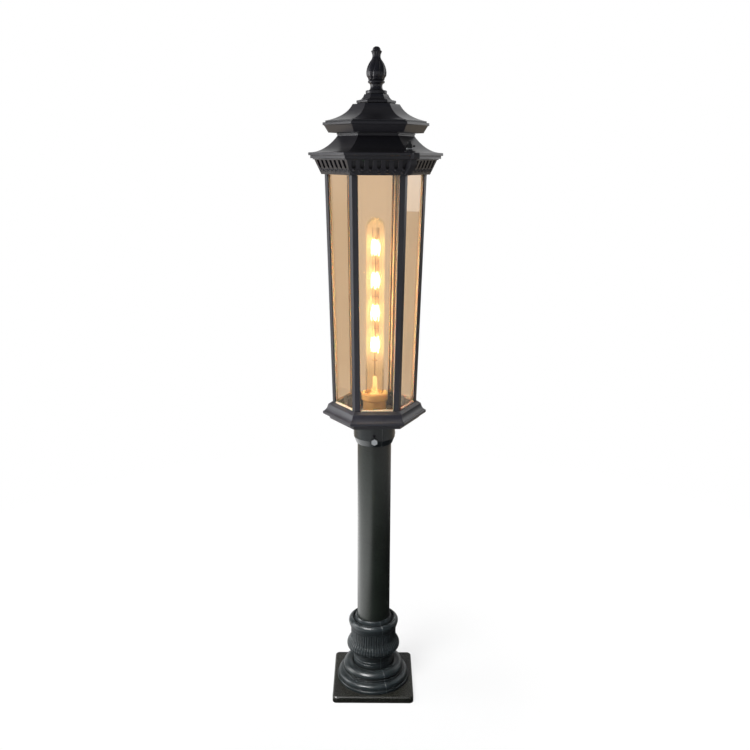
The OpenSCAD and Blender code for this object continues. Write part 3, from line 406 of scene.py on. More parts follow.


# %% [markdown]
# ## The bulb's glass: tube and stem
# The tube is thin blown soda glass with an amber stain. The stem inside it is clearer
# lead glass, close under the coils, so its painted glow is stronger and reaches down to its
# foot.

# %% Bulb glass
def glass_with_painted_halo(name, tint, glow, between, strength, foot):
    """Thin glass with a soft painted glow at the heights of the coil groups."""
    material, tree, output = new_material(name)
    place = add_node(tree, "ShaderNodeTexCoord").outputs["Object"]
    band, level = halo(tree, place, foot)
    tone = add_node(tree, "ShaderNodeMix", {
        "Factor": band, "A": linear(between), "B": linear(glow)}, data_type="RGBA")
    # the strength of the painted glow
    bright = add_node(tree, "ShaderNodeMath", {0: level, 1: strength}, operation="MULTIPLY")
    line = drawn_lines(tree, place)
    painted_glow_on_line = add_node(tree, "ShaderNodeMapRange", {
        "Value": line, "From Min": -1.0, "To Min": 0.35, "To Max": 1.65})
    lined = add_node(tree, "ShaderNodeMath", {
        0: bright.outputs["Value"], 1: painted_glow_on_line.outputs["Result"]}, operation="MULTIPLY")
    ripple = add_node(tree, "ShaderNodeBump", {
        "Height": line, "Distance": 0.00006, "Strength": 0.5})
    glass = add_node(tree, "ShaderNodeBsdfPrincipled", {
        "Base Color": linear(tint), "Roughness": 0.03, "IOR": 1.5,
        "Transmission Weight": 1.0, "Normal": ripple.outputs["Normal"],
        "Emission Color": tone.outputs["Result"],
        "Emission Strength": lined.outputs["Value"]})
    tree.links.new(glass.outputs["BSDF"], output.inputs["Surface"])
    return material


# the bulb's glass and stem carry a painted glow
dress(glass_with_painted_halo("soda_glass_bulb_amber_painted_glow", tint="#fff6e4", glow="#fff2bc",
                   between="#ffe4c0", strength=0.21, foot=0.05), "bulb_glass")
dress(glass_with_painted_halo("lead_glass_stem_painted_glow", tint="#fbf2dc", glow="#ffe8b4",
                   between="#ffe6ac", strength=0.6, foot=1.0), "bulb_stem")
print("halo bands:", len(GROUP_HEIGHTS))

# %% [markdown]
# ## Small metal parts
# Zinc plate is a bluish grey, spring steel strip is darker, and drawn brass is warm.
# Black oxide is a thin dark skin on steel, and the bulb's molybdenum wire has browned
# in the heat. Each has a fine turned, rolled or drawn grain, which blurs its highlight.
# An anisotropic shader would come closer to turned metal, but these parts are too small
# to show it, so one noise drives the colour, the roughness and the relief of them all.

# %% Metals
def plain_metal(name, colour, stain, roughness, grain_mm):
    """A bare or plated metal with a fine grain and a few stains."""
    material, tree, output = new_material(name)
    place = add_node(tree, "ShaderNodeTexCoord")
    grain = add_node(tree, "ShaderNodeTexNoise", {
        "Vector": place.outputs["Object"], "Scale": 1000 / grain_mm, "Detail": 3.0})
    tone = add_node(tree, "ShaderNodeMix", {
        "Factor": grain.outputs["Fac"], "A": linear(colour), "B": linear(stain)},
        data_type="RGBA")
    rough = add_node(tree, "ShaderNodeMapRange", {
        "Value": grain.outputs["Fac"], "To Min": roughness - 0.08, "To Max": roughness + 0.12})
    relief = add_node(tree, "ShaderNodeBump", {
        "Height": grain.outputs["Fac"], "Distance": 0.00002, "Strength": 0.5})
    metal = add_node(tree, "ShaderNodeBsdfPrincipled", {
        "Base Color": tone.outputs["Result"], "Roughness": rough.outputs["Result"],
        "Metallic": 1.0, "Normal": relief.outputs["Normal"]})
    tree.links.new(metal.outputs["BSDF"], output.inputs["Surface"])
    return material


zinc = plain_metal(
    "zinc_plated_steel", "#c9ccce", "#9fa4a8", roughness=0.32, grain_mm=0.9)
spring = plain_metal(
    "spring_steel_strip", "#a7a9ab", "#85888b", roughness=0.36, grain_mm=0.7)
brass = plain_metal(
    "drawn_brass", "#cfab58", "#a8833c", roughness=0.28, grain_mm=1.2)
black_oxide = plain_metal(
    "black_oxide_steel", "#3a3a3d", "#232326", roughness=0.42, grain_mm=0.8)
molybdenum = plain_metal(
    "molybdenum_wire", "#a98a62", "#8a6a44", roughness=0.4, grain_mm=0.6)
dress(zinc, "socket_hex_screws", "tray_bolts", "clip_screws", "bracket_screws",
      "tie_rod", "bridge_washer", "bridge_nut", "holder_bracket", "roof_bridge")
dress(spring, "lower_clips", "upper_clips", "retaining_clip", "hinge_pin", "closure_washer")
dress(brass, "holder_shell", "holder_contact", "holder_nipple", "nipple_nut", "bulb_cap")
dress(black_oxide, "collar_screws", "socket_grub_screws")
dress(molybdenum, "filament_support")
print("metals:", 5)

# %% [markdown]
# ## Ceramic and plastics
# The lamp holder is pressed steatite under a cream glaze: a smooth clear skin over a
# warm body that lets a little light in. The terminal block is white moulded nylon and
# the bulb's base insulator is black glass. A plain coloured shader would look painted,
# so a little subsurface light and a faint mottle are added.

# %% Ceramic and plastics
def glazed(name, colour, speck, roughness, speck_mm, under_skin):
    """A glazed or moulded surface with a slight mottle."""
    material, tree, output = new_material(name)
    place = add_node(tree, "ShaderNodeTexCoord")
    mottle = add_node(tree, "ShaderNodeTexNoise", {
        "Vector": place.outputs["Object"], "Scale": 1000 / speck_mm, "Detail": 4.0})
    tone = add_node(tree, "ShaderNodeMix", {
        "Factor": mottle.outputs["Fac"], "A": linear(colour), "B": linear(speck)},
        data_type="RGBA")
    rough = add_node(tree, "ShaderNodeMapRange", {
        "Value": mottle.outputs["Fac"], "To Min": roughness - 0.03, "To Max": roughness + 0.06})
    skin = add_node(tree, "ShaderNodeBsdfPrincipled", {
        "Base Color": tone.outputs["Result"], "Roughness": rough.outputs["Result"],
        "IOR": 1.5, "Subsurface Weight": under_skin, "Subsurface Scale": 0.002})
    tree.links.new(skin.outputs["BSDF"], output.inputs["Surface"])
    return material


dress(glazed("steatite_cream_glaze", "#ffdc9c", "#f4c47c", roughness=0.22,
             speck_mm=3.0, under_skin=0.1), "lamp_holder")
dress(glazed("nylon_white_moulded", "#e9e6dd", "#dedacf", roughness=0.35,
             speck_mm=2.0, under_skin=0.1), "terminal_block")
dress(glazed("glass_insulator_black", "#1b1b1d", "#101012", roughness=0.2,
             speck_mm=1.5, under_skin=0.0), "bulb_contact")
print("ceramic and plastics:", 3)

# %% [markdown]
# ## Glow of a hot wire
# The coils are drawn tungsten wire at white heat. Their emission is set just high
# enough that a coil thinner than a pixel still reads as white-hot, and its colour
# wavers with the heat. Blackbody colour would be truer, but it has to be judged against
# the exposure of the picture, and two given colours do that directly. The straight
# leads are only a dull orange.

# %% Hot wire
WAVERS_PER_METRE = 260.0  # one in about 4 mm


def hot_wire(name, hot, warm, strength):
    """Glowing wire, whose heat wavers a little along it."""
    material, tree, output = new_material(name)
    place = add_node(tree, "ShaderNodeTexCoord")
    waver = add_node(tree, "ShaderNodeTexNoise", {
        "Vector": place.outputs["Object"], "Scale": WAVERS_PER_METRE, "Detail": 1.0})
    tone = add_node(tree, "ShaderNodeMix", {
        "Factor": waver.outputs["Fac"], "A": linear(hot), "B": linear(warm)},
        data_type="RGBA")
    glow = add_node(tree, "ShaderNodeBsdfPrincipled", {
        "Base Color": linear("#7a4a1a"), "Roughness": 0.5,
        "Emission Color": tone.outputs["Result"], "Emission Strength": strength})
    tree.links.new(glow.outputs["BSDF"], output.inputs["Surface"])
    return material


coil_heat = hot_wire("tungsten_coil_white_hot", "#fff6d8", "#ffe9b0", strength=40.0)
lead_heat = hot_wire("tungsten_lead_orange", "#a05c24", "#6a3814", strength=0.05)
dress(coil_heat, "filament")
print("hot wires:", 2)

# %% [markdown]
# ## Making a piece
# Every new piece is a mesh at the world's origin with its place in its vertices, as the
# CAD nodes are. The first helper turns a bmesh into such a piece, gives it its finish
# and says which body of the lamp it moves with. The others are for a form that comes
# many times: it is made once, copied to each place, and then removed.

# %% Piece helpers
def finish_piece(name, shape, material, body):
    """Turns a bmesh into an object that rides on a body of the lamp."""
    bmesh.ops.remove_doubles(shape, verts=shape.verts, dist=1e-6)
    bmesh.ops.recalc_face_normals(shape, faces=shape.faces)
    for face in shape.faces:
        face.smooth = True
    mesh = bpy.data.meshes.new(name)
    shape.to_mesh(mesh)
    shape.free()
    mesh.materials.append(material)
    piece = bpy.data.objects.new(name, mesh)
    bpy.context.scene.collection.objects.link(piece)
    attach(piece, body)
    print(name, "has", len(mesh.polygons), "faces")
    return piece


def verts_of(items):
    """The vertices among the results of an operator."""
    return [item for item in items if isinstance(item, bmesh.types.BMVert)]


def whole(shape):
    """All that a bmesh holds so far."""
    return shape.verts[:] + shape.edges[:] + shape.faces[:]


def place_copy(shape, pattern, place):
    """Copies part of a bmesh and moves the copy by a matrix."""
    fresh = bmesh.ops.duplicate(shape, geom=pattern)["geom"]
    bmesh.ops.transform(shape, matrix=place, verts=verts_of(fresh))


def remove_pattern(shape, pattern):
    """Deletes what was copied, once all its copies are in place."""
    bmesh.ops.delete(shape, geom=verts_of(pattern), context="VERTS")


# %% [markdown]
# ## Filament coils
# Each of the four groups is a cage of coils between two spacer discs: eight outside,
# stretched a little differently, and four inside. A coil is a small ring swept along a
# screw, which the spin operator does when it is given a step along the axis. One coil
# is made, bent outwards like a barrel stave, and copied round the axis and up the tube.

# %% One coil
COIL_TURNS, STEPS_IN_TURN = 22, 7
COIL_HEIGHT, COIL_RADIUS, WIRE_RADIUS = 0.029, 0.0008, 0.00016
CAGE_WAIST, CAGE_BELLY = 0.0054, 0.0070

shape = bmesh.new()
bmesh.ops.create_circle(
    shape, segments=4, radius=WIRE_RADIUS,
    matrix=Matrix.Translation((COIL_RADIUS, 0, 0)) @ Matrix.Rotation(math.radians(90), 4, "X"))
steps = COIL_TURNS * STEPS_IN_TURN
bmesh.ops.spin(
    shape, geom=shape.verts[:] + shape.edges[:], cent=(0, 0, 0), axis=(0, 0, 1),
    dvec=(0, 0, COIL_HEIGHT / steps), angle=2 * math.pi * COIL_TURNS, steps=steps)
for vert in shape.verts:
    along = 2 * vert.co.z / COIL_HEIGHT - 1
    vert.co.x += CAGE_WAIST + (CAGE_BELLY - CAGE_WAIST) * (1 - along * along)
    vert.co.z -= COIL_HEIGHT / 2
stave = whole(shape)
print("faces in one coil:", len(shape.faces))

# %% Four groups of coils
GROUP_TWISTS = [0, 17, 31, 8]  # degrees
STRETCHES = [1.0, 0.8, 0.94, 0.72, 1.0, 0.86, 0.76, 0.9]
COIL_LEAN = 7  # degrees, to either side in turn
INNER_COILS, INNER_STEP, INNER_STRETCH = 4, 0.0042, 0.9

for height, twist in zip(GROUP_HEIGHTS, GROUP_TWISTS):
    for k in range(len(STRETCHES)):
        place_copy(shape, stave, Matrix.Translation((0, 0, height))
                   @ Matrix.Rotation(math.radians(360 / len(STRETCHES) * k + twist), 4, "Z")
                   @ Matrix.Rotation(math.radians(COIL_LEAN if k % 2 else -COIL_LEAN), 4, "X")
                   @ Matrix.Scale(STRETCHES[(k + twist) % len(STRETCHES)], 4, (0, 0, 1)))
    for k in range(INNER_COILS):
        place_copy(shape, stave, Matrix.Translation((0, 0, height))
                   @ Matrix.Rotation(math.radians(360 / INNER_COILS * k - twist), 4, "Z")
                   @ Matrix.Translation((-INNER_STEP, 0, 0))
                   @ Matrix.Scale(INNER_STRETCH, 4, (0, 0, 1)))
remove_pattern(shape, stave)
coils = finish_piece("filament_coils", shape, coil_heat, "bulb")
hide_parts("filament")

# %% [markdown]
# ## Lead wires
# Between the groups the current runs through straight leads, which pass the rims of the
# spacer discs and join the coils' ends. They show as fine dark upright lines. A curve
# with a round bevel could draw them, but they are straight, so each is a thin six-sided
# rod, made once and copied.

# %% Lead wires
LEAD_OUT = CAGE_WAIST + COIL_RADIUS / 2
LEAD_RADIUS, LEAD_OVERLAP = 0.0003, 0.001
LEADS, LEADS_TWIST = 8, 12
TOP_LEAD_RISE = 0.019  # the top leads stand lower, inside the tube's rounded end

shape = bmesh.new()
bmesh.ops.create_cone(
    shape, cap_ends=True, segments=6, radius1=LEAD_RADIUS, radius2=LEAD_RADIUS,
    depth=GROUP_STEP - COIL_HEIGHT + LEAD_OVERLAP)
rod = whole(shape)
for height in GROUP_HEIGHTS:
    rise = TOP_LEAD_RISE if height == GROUP_HEIGHTS[-1] else GROUP_STEP / 2
    for k in range(LEADS):
        turn = math.radians(360 / LEADS * k + LEADS_TWIST)
        place_copy(shape, rod, Matrix.Rotation(turn, 4, "Z")
                   @ Matrix.Translation((LEAD_OUT, 0, height + rise)))
remove_pattern(shape, rod)
finish_piece("lead_wires", shape, lead_heat, "bulb")

# %% [markdown]
# ## Sealant along the glass
# A bead of clear silicone closes the joint between each pane, the posts and the tray.
# Silicone cures soft and waxy, and its small bubbles make it cloudy. Real glass shading
# would cost much for so thin a bead, so subsurface light and cells of a warmer colour
# stand for it.

# %% Sealant material
BUBBLES_PER_METRE = 700.0  # one in about 1.4 mm, coarser than they are


def silicone(name, colour, roughness):
    """Cloudy silicone: soft, waxy, warmer between its bubbles."""
    material, tree, output = new_material(name)
    place = add_node(tree, "ShaderNodeTexCoord")
    bubbles = add_node(tree, "ShaderNodeTexVoronoi", {
        "Vector": place.outputs["Object"], "Scale": BUBBLES_PER_METRE})
    tone = add_node(tree, "ShaderNodeMix", {
        "Factor": bubbles.outputs["Distance"], "A": linear(colour), "B": linear("#c9ab80")},
        data_type="RGBA")
    skin = add_node(tree, "ShaderNodeBsdfPrincipled", {
        "Base Color": tone.outputs["Result"], "Roughness": roughness, "IOR": 1.41,
        "Subsurface Weight": 0.3, "Subsurface Scale": 0.002})
    tree.links.new(skin.outputs["BSDF"], output.inputs["Surface"])
    return material


sealant = silicone("silicone_clear_cured", "#f6ead6", roughness=0.3)
print("sealant:", sealant.name)

# %% [markdown]
# ## Where the joints are
# The posts lean outwards, so every distance from the axis grows with the height. The
# joints could be read from the CAD meshes, but the sizes that made them are fewer and
# exact. They are in metres, and each function gives a joint as a point.

# %% Joints of the lantern
HEAD_TURN = 3.5  # degrees, as the lantern stands on its pole
RIM_Z, FRIEZE_Z = 0.560, 0.951
POST_FOOT, POST_LEAN = 0.074, 0.0106 / 0.386
POST_START, POST_LEG, POST_WALL = RIM_Z + 0.002, 0.0085, 0.00315
PANE_THICKNESS = 0.004
PANE_FOOT, PANE_HEAD = RIM_Z + 0.0015, FRIEZE_Z - 0.001
SIDE_BY_CORNER = math.cos(math.radians(30))  # a side's distance, where a corner's is 1
IN_FROM_CORNER = 0.0012
OFF_POST, OFF_PANE = 0.0003, 0.0004
SHORT_OF_POST, OUT_ON_TRAY, SUNK_IN_TRAY = 0.001, 0.0011, 0.0008


def side_turn(k):
    """Turns a piece made for the front side to side k of the lantern."""
    return Matrix.Rotation(math.radians(60 * k + HEAD_TURN), 4, "Z")


def post_corner(z):
    """Distance of the post corners from the axis at a height."""
    return POST_FOOT + (z - POST_START) * POST_LEAN


def pane_face(z):
    """Distance of the outer face of a pane from the axis at a height."""
    return post_corner(z) * SIDE_BY_CORNER - POST_WALL


def behind_post(z):
    """A point where two panes meet behind a post."""
    return (0, IN_FROM_CORNER - (pane_face(z) - PANE_THICKNESS) / SIDE_BY_CORNER, z)


def beside_post(side, z):
    """A point on the outside of a pane, against the post on one side (-1 or 1)."""
    return (side * (post_corner(z) / 2 - POST_LEG - OFF_POST), -pane_face(z) - OFF_PANE, z)


def on_tray(side):
    """A point at the foot of a pane, near its end on one side (-1 or 1)."""
    reach = post_corner(PANE_FOOT) / 2 - POST_LEG - SHORT_OF_POST
    return (side * reach, -pane_face(PANE_FOOT) - OUT_ON_TRAY, PANE_FOOT - SUNK_IN_TRAY)


print("width of a pane's joint at the foot:", round(2 * on_tray(1)[0], 4))

# %% [markdown]
# ## A bead squeezed by hand
# The sealant is squeezed from a tube by hand, so its width wavers. A ring of eight
# points is extruded along the joint in short steps, and each step is made a little
# wider or narrower by a smooth noise. The face that an extrusion leaves inside is
# deleted, so that the bead is one closed skin.

# %% Bead helper
WAVES_PER_METRE = 60.0
WAVER = 0.35


def bead_between(shape, start, end, radius, steps, seed):
    """Extrudes a wavering bead from one point to another; returns its vertices."""
    start, end = Vector(start), Vector(end)
    turn = (end - start).to_track_quat("Z", "Y").to_matrix().to_4x4()
    ring = bmesh.ops.create_circle(
        shape, cap_ends=True, segments=8, radius=radius,
        matrix=Matrix.Translation(start) @ turn)["verts"]
    every = list(ring)
    face = [f for f in shape.faces if set(f.verts) == set(ring)]
    for i in range(steps):
        grown = bmesh.ops.extrude_face_region(shape, geom=face)["geom"]
        verts = verts_of(grown)
        bmesh.ops.delete(shape, geom=[f for f in face if i > 0], context="FACES_ONLY")
        bmesh.ops.translate(shape, vec=(end - start) / steps, verts=verts)
        middle = sum((v.co for v in verts), Vector()) / len(verts)
        along = (middle.z + middle.x) * WAVES_PER_METRE
        wanted = radius * (1 + WAVER * noise.noise(Vector((seed * 3.1, along, 0.5))))
        now = (verts[0].co - middle).length
        bmesh.ops.scale(
            shape, vec=[wanted / now] * 3, space=Matrix.Translation(-middle), verts=verts)
        face = [g for g in grown if isinstance(g, bmesh.types.BMFace)]
        every += verts
    return every


# %% Sealant beads
CORNER_BEAD, SIDE_BEAD, FOOT_BEAD = 0.0016, 0.0008, 0.0022
UPRIGHT_STEPS, LEVEL_STEPS = 30, 14

shape = bmesh.new()
for k in range(6):
    corner = bead_between(shape, behind_post(PANE_FOOT), behind_post(PANE_HEAD),
                          CORNER_BEAD, UPRIGHT_STEPS, seed=80 + k)
    bmesh.ops.transform(shape, matrix=side_turn(k + 0.5), verts=corner)
    around = []
    for side in (-1, 1):
        low, high = beside_post(side, PANE_FOOT), beside_post(side, PANE_HEAD)
        around += bead_between(shape, low, high, SIDE_BEAD, UPRIGHT_STEPS, seed=7 * k + side)
    around += bead_between(shape, on_tray(-1), on_tray(1),
                           FOOT_BEAD, LEVEL_STEPS, seed=50 + k)
    bmesh.ops.transform(shape, matrix=side_turn(k), verts=around)
finish_piece("pane_sealant", shape, sealant, "head")

# %% [markdown]
# ## Festoons on the frieze
# Under each slot of the frieze a small raised festoon hangs round the bead. On the real
# casting it is part of the mould. It is a relief of under a millimetre, too fine for
# the CAD solid, so it is laid on here: half a ring, spun from a small circle, set on
# the leaning face and copied seven times on each of the six sides.

# %% Frieze festoons
FESTOON_RADIUS, FESTOON_WIRE = 0.0054, 0.0009
SLOT_PITCH = 0.0132
FRIEZE_CORNER = 0.0902
FRIEZE_SLOPE = 0.0113 / 0.0234  # how far its corners spread as it rises
BEAD_RISE = 0.0084
BEAD_OUT = (FRIEZE_CORNER + BEAD_RISE * FRIEZE_SLOPE) * SIDE_BY_CORNER
FACE_LEAN = math.atan(FRIEZE_SLOPE * SIDE_BY_CORNER)

shape = bmesh.new()
bmesh.ops.create_circle(
    shape, cap_ends=True, segments=8, radius=FESTOON_WIRE,
    matrix=Matrix.Translation((FESTOON_RADIUS, 0, 0)))
bmesh.ops.spin(
    shape, geom=shape.faces[:], cent=(0, 0, 0), axis=(0, 1, 0),
    angle=math.pi, steps=12)
arc = whole(shape)
for k in range(6):
    for slot in range(-3, 4):
        place_copy(shape, arc, side_turn(k)
                   @ Matrix.Translation((slot * SLOT_PITCH, -BEAD_OUT, FRIEZE_Z + BEAD_RISE))
                   @ Matrix.Rotation(FACE_LEAN, 4, "X"))
remove_pattern(shape, arc)
finish_piece("frieze_festoons", shape, lantern_coat, "head")

# %% [markdown]
# ## Floor
# A round sheet of white paper carries the lamp. Lighting it to pure white would drown
# the lamp in light, so the light path does it: the camera sees plain white, also
# through glass, with a share of the true paper near the lamp, where the soft shadow
# lies. A mirroring surface sees a painted pool of light on the left, a painted shadow
# of the lamp on the right, and a fade to the room far out.

# %% Paper
LIT_WHITE = 1.02  # just over white, so that the sheet meets the background unseen
ROOM_AT_EDGE = 0.7


def studio_paper(name, radius):
    """White paper fading into the background; mirrors see a painted pool of light and shadow.
    """
    material, tree, output = new_material(name)
    place = add_node(tree, "ShaderNodeTexCoord").outputs["Object"]
    ray = add_node(tree, "ShaderNodeLightPath")
    far = add_node(tree, "ShaderNodeVectorMath", {0: place}, operation="LENGTH")
    across = add_node(tree, "ShaderNodeSeparateXYZ", {"Vector": place})
    # to the camera, and through glass: white, with some of the paper round the foot
    fade = add_node(tree, "ShaderNodeMapRange", {
        "Value": far.outputs["Value"], "From Min": 0.10, "From Max": 0.45,
        "To Min": 0.78, "To Max": 1.0}, interpolation_type="SMOOTHSTEP")
    seen = add_node(tree, "ShaderNodeMath", {
        0: ray.outputs["Is Camera Ray"], 1: ray.outputs["Is Transmission Ray"]},
        operation="MAXIMUM")
    share = add_node(tree, "ShaderNodeMath", {
        0: seen.outputs["Value"], 1: fade.outputs["Result"]}, operation="MULTIPLY")
    paper = add_node(tree, "ShaderNodeBsdfDiffuse", {"Color": linear("#e4e4e4")})
    lit = add_node(tree, "ShaderNodeEmission", {
        "Color": linear("#ffffff"), "Strength": LIT_WHITE})
    plain = add_node(tree, "ShaderNodeMixShader", {
        0: share.outputs["Value"], 1: paper.outputs["BSDF"], 2: lit.outputs["Emission"]})
    # in a mirroring surface: a painted pool of light, a painted shadow of the lamp, and the
    # room far out
    pool = add_node(tree, "ShaderNodeMapRange", {
        "Value": across.outputs["X"], "From Min": -0.35, "From Max": -0.05,
        "To Min": 2.6, "To Max": 0.12}, interpolation_type="SMOOTHSTEP")
    # painted shadow of the lamp on the right, seen in mirrors only
    shadow = add_node(tree, "ShaderNodeMapRange", {
        "Value": across.outputs["X"], "From Min": -0.02, "From Max": 0.12,
        "To Min": 1.0, "To Max": 0.25})
    near = add_node(tree, "ShaderNodeMath", {
        0: pool.outputs["Result"], 1: shadow.outputs["Result"]}, operation="MULTIPLY")
    outward = add_node(tree, "ShaderNodeMapRange", {
        "Value": far.outputs["Value"], "From Min": 0.7, "From Max": radius},
        interpolation_type="SMOOTHSTEP")
    mirrored = add_node(tree, "ShaderNodeMix", {
        "Factor": outward.outputs["Result"], "A": near.outputs["Value"], "B": ROOM_AT_EDGE})
    in_gloss = add_node(tree, "ShaderNodeEmission", {
        "Color": linear("#ffffff"), "Strength": mirrored.outputs["Result"]})
    both = add_node(tree, "ShaderNodeMixShader", {
        0: ray.outputs["Is Glossy Ray"], 1: plain.outputs["Shader"],
        2: in_gloss.outputs["Emission"]})
    tree.links.new(both.outputs["Shader"], output.inputs["Surface"])
    return material


# %% Floor
FLOOR_RADIUS = 1.3

shape = bmesh.new()
bmesh.ops.create_circle(shape, cap_ends=True, segments=64, radius=FLOOR_RADIUS)
mesh = bpy.data.meshes.new("studio_floor")
shape.to_mesh(mesh)
shape.free()
mesh.materials.append(studio_paper("studio_paper_white", FLOOR_RADIUS))
floor = bpy.data.objects.new("studio_floor", mesh)
bpy.context.scene.collection.objects.link(floor)
print("floor radius:", FLOOR_RADIUS)

# %% [markdown]
# ## World: a dim room
# The lantern's front faces are nearly black and the faces beside them silver, so the
# lamp stands in a dim room that is brighter in some directions. An image of a room
# could do that, but two colour ramps by height are easier to adjust: one is the
# camera's side, one the far side, and they blend into each other between.

# %% Room by height
world = bpy.data.worlds.new("studio_world")
bpy.context.scene.world = world
world.use_nodes = True
tree = world.node_tree
tree.nodes.clear()
output = tree.nodes.new("ShaderNodeOutputWorld")
ray = add_node(tree, "ShaderNodeLightPath")
direction = add_node(tree, "ShaderNodeTexCoord")
part = add_node(tree, "ShaderNodeSeparateXYZ", {"Vector": direction.outputs["Generated"]})
# from -1, straight down, to 1, straight up
ROOM_STOPS = {
    "front": [(-1.0, "#808080"), (-0.38, "#82807e"), (-0.26, "#ffffff"),
              (-0.05, "#ffffff"), (0.05, "#6c717c"), (0.8, "#6c717c"), (1.0, "#959595")],
    "back": [(-1.0, "#959595"), (-0.45, "#e6d6bf"), (-0.32, "#e6d6bf"),
             (-0.26, "#40403e"), (-0.09, "#505050"), (0.0, "#ffffff"), (0.38, "#ffffff"),
             (0.5, "#606066"), (1.0, "#606066")],
}
height = add_node(tree, "ShaderNodeMapRange", {
    "Value": part.outputs["Z"], "From Min": -1.0, "From Max": 1.0})
ramps = {}
for side, stops in ROOM_STOPS.items():
    ramp = add_node(tree, "ShaderNodeValToRGB", {"Fac": height.outputs["Result"]})
    while len(ramp.color_ramp.elements) < len(stops):
        ramp.color_ramp.elements.new(0.5)
    for stop, (z, colour) in zip(ramp.color_ramp.elements, stops):
        stop.position = (z + 1) / 2
        stop.color = linear(colour)
    ramps[side] = ramp.outputs["Color"]
behind = add_node(tree, "ShaderNodeMapRange", {
    "Value": part.outputs["Y"], "From Min": -0.35, "From Max": 0.35},
    interpolation_type="SMOOTHSTEP")
room = add_node(tree, "ShaderNodeMix", {
    "Factor": behind.outputs["Result"], "A": ramps["front"], "B": ramps["back"]},
    data_type="RGBA")
print("stops in the room:", sum(len(stops) for stops in ROOM_STOPS.values()))

# %% [markdown]
# ## World: the white backdrop in metal
# Metal mirrors the white backdrop, which stands behind the lamp from the floor's edge
# up to a height, and ends on both sides, where the room is darker still. The backdrop
# is a product of soft steps: by height, behind the lamp, and between its two ends.

# %% Backdrop
standing = add_node(tree, "ShaderNodeMapRange", {
    "Value": part.outputs["Z"], "From Min": -0.04, "From Max": 0.02},
    interpolation_type="SMOOTHSTEP")
topped = add_node(tree, "ShaderNodeMapRange", {
    "Value": part.outputs["Z"], "From Min": 0.38, "From Max": 0.5,
    "To Min": 1.0, "To Max": 0.0}, interpolation_type="SMOOTHSTEP")
sideways = add_node(tree, "ShaderNodeMath", {0: part.outputs["X"]}, operation="ABSOLUTE")
side_end = add_node(tree, "ShaderNodeMapRange", {
    "Value": sideways.outputs["Value"], "From Min": 0.45, "From Max": 0.72,
    "To Min": 1.0, "To Max": 0.15}, interpolation_type="SMOOTHSTEP")
backdrop = standing.outputs["Result"]
for limit in (topped, behind, side_end):
    backdrop = add_node(tree, "ShaderNodeMath", {
        0: backdrop, 1: limit.outputs["Result"]}, operation="MULTIPLY").outputs["Value"]
in_metal = add_node(tree, "ShaderNodeMath", {
    0: ray.outputs["Is Glossy Ray"], 1: backdrop}, operation="MULTIPLY")
above_floor = add_node(tree, "ShaderNodeMix", {
    "Factor": standing.outputs["Result"], "A": 1.0, "B": side_end.outputs["Result"]})
shown = add_node(tree, "ShaderNodeVectorMath", {
    0: room.outputs["Result"], "Scale": above_floor.outputs["Result"]}, operation="SCALE")
print("nodes in the world so far:", len(tree.nodes))

# %% [markdown]
# ## World: what each kind of ray sees
# The camera sees plain white, and so does a first look through glass. Light that has
# already left a surface inside the lantern sees the dim room through the panes, or the
# lantern would be lit from all sides. Soft light on a surface comes from a window on
# the left, so it falls off to the right.

# %% Camera, glass and soft light
first_look = add_node(tree, "ShaderNodeMath", {
    0: ray.outputs["Diffuse Depth"], 1: 0.5}, operation="LESS_THAN")
through = add_node(tree, "ShaderNodeMath", {
    0: ray.outputs["Is Transmission Ray"], 1: first_look.outputs["Value"]},
    operation="MULTIPLY")
in_glass = add_node(tree, "ShaderNodeMath", {
    0: ray.outputs["Is Camera Ray"], 1: through.outputs["Value"]}, operation="MAXIMUM")
white_to = add_node(tree, "ShaderNodeMath", {
    0: in_glass.outputs["Value"], 1: in_metal.outputs["Value"]}, operation="MAXIMUM")
from_window = add_node(tree, "ShaderNodeMapRange", {
    "Value": part.outputs["X"], "From Min": -0.6, "From Max": 0.6,
    "To Min": 0.75, "To Max": 0.14})
soft = add_node(tree, "ShaderNodeMix", {
    "Factor": ray.outputs["Is Diffuse Ray"], "A": 1.0, "B": from_window.outputs["Result"]})
dim = add_node(tree, "ShaderNodeBackground", {
    "Color": shown.outputs["Vector"], "Strength": soft.outputs["Result"]})
white = add_node(tree, "ShaderNodeBackground", {
    "Color": linear("#ffffff"), "Strength": 1.0})
both = add_node(tree, "ShaderNodeMixShader", {
    0: white_to.outputs["Value"], 1: dim.outputs["Background"],
    2: white.outputs["Background"]})
tree.links.new(both.outputs["Shader"], output.inputs["Surface"])
print("world:", world.name)

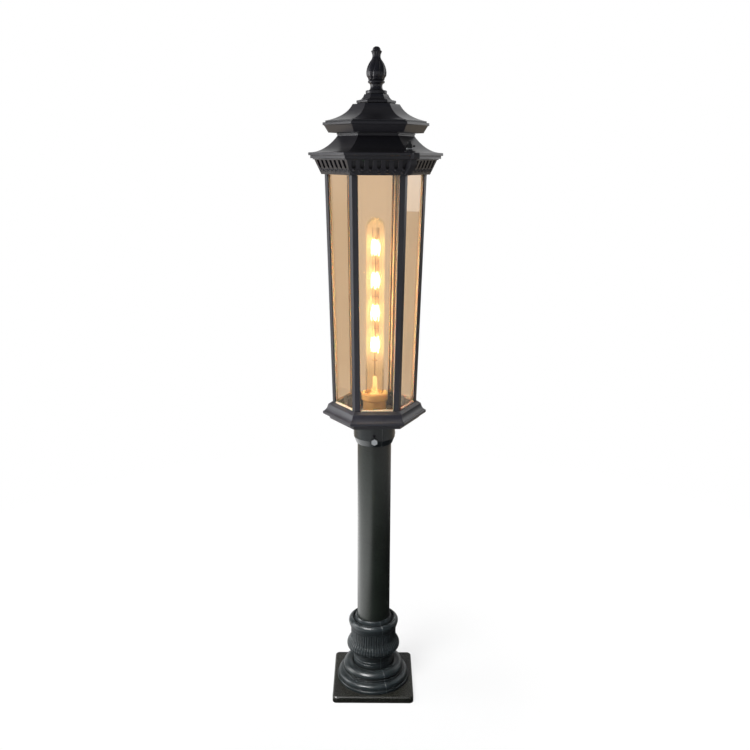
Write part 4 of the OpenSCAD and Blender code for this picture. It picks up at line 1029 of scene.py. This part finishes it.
# %% [markdown]
# ## Soft boxes
# A large key on the left and a tall panel at the back on the right are what the side
# faces mirror. A window high in front has a grid before it, which keeps its light in a
# narrow cone, and draws the streaks on the rings of the foot. No soft box is seen
# itself, neither by the camera nor through the panes.

# %% Soft boxes
def soft_box(name, place, aim, size, watts, spread):
    """A rectangular lamp at a place, turned towards a point, with a grid on it."""
    light = bpy.data.lights.new(name, "AREA")
    light.shape = "RECTANGLE"
    light.size, light.size_y = size
    light.energy = watts
    light.spread = math.radians(spread)
    lamp = bpy.data.objects.new(name, light)
    lamp.matrix_world = (
        Matrix.Translation(place)
        @ (Vector(aim) - Vector(place)).to_track_quat("-Z", "Y").to_matrix().to_4x4())
    lamp.visible_camera = lamp.visible_transmission = False
    bpy.context.scene.collection.objects.link(lamp)


soft_box("panel_right_back", place=(1.35, 0.78, 1.29), aim=(0, 0, 0.9),
         size=(0.9, 1.1), watts=4.2, spread=180)
soft_box("key_left", place=(-1.6, 0.1, 0.8), aim=(0, 0, 0.5),
         size=(0.7, 1.2), watts=18, spread=180)
soft_box("window_front_high", place=(-0.7, -0.9, 1.45), aim=(-0.02, 0, 0.08),
         size=(1.0, 0.6), watts=2.8, spread=34)
print("soft boxes:", len(bpy.data.lights))

# %% [markdown]
# ## The bulb's own light
# A coil thinner than a pixel lights what is round it with much noise. So four weak warm
# lamps inside the tube give the light that the filament throws on the holder and the
# posts. The lowest is the strongest, because the cream holder below it glows most.

# %% The bulb's own light
LOWEST_WATTS, OTHER_WATTS = 0.34, 0.14

for height in GROUP_HEIGHTS:
    light = bpy.data.lights.new(f"filament_light_{round(height * 1000)}", "POINT")
    light.energy = LOWEST_WATTS if height == GROUP_HEIGHTS[0] else OTHER_WATTS
    light.color = linear("#ffd8a0")[:3]
    light.shadow_soft_size = 0.008
    lamp = bpy.data.objects.new(light.name, light)
    lamp.location = (0, 0, height)
    lamp.visible_camera = False
    bpy.context.scene.collection.objects.link(lamp)
bpy.context.scene.view_settings.view_transform = "Standard"
print("lamps:", len(bpy.data.lights))
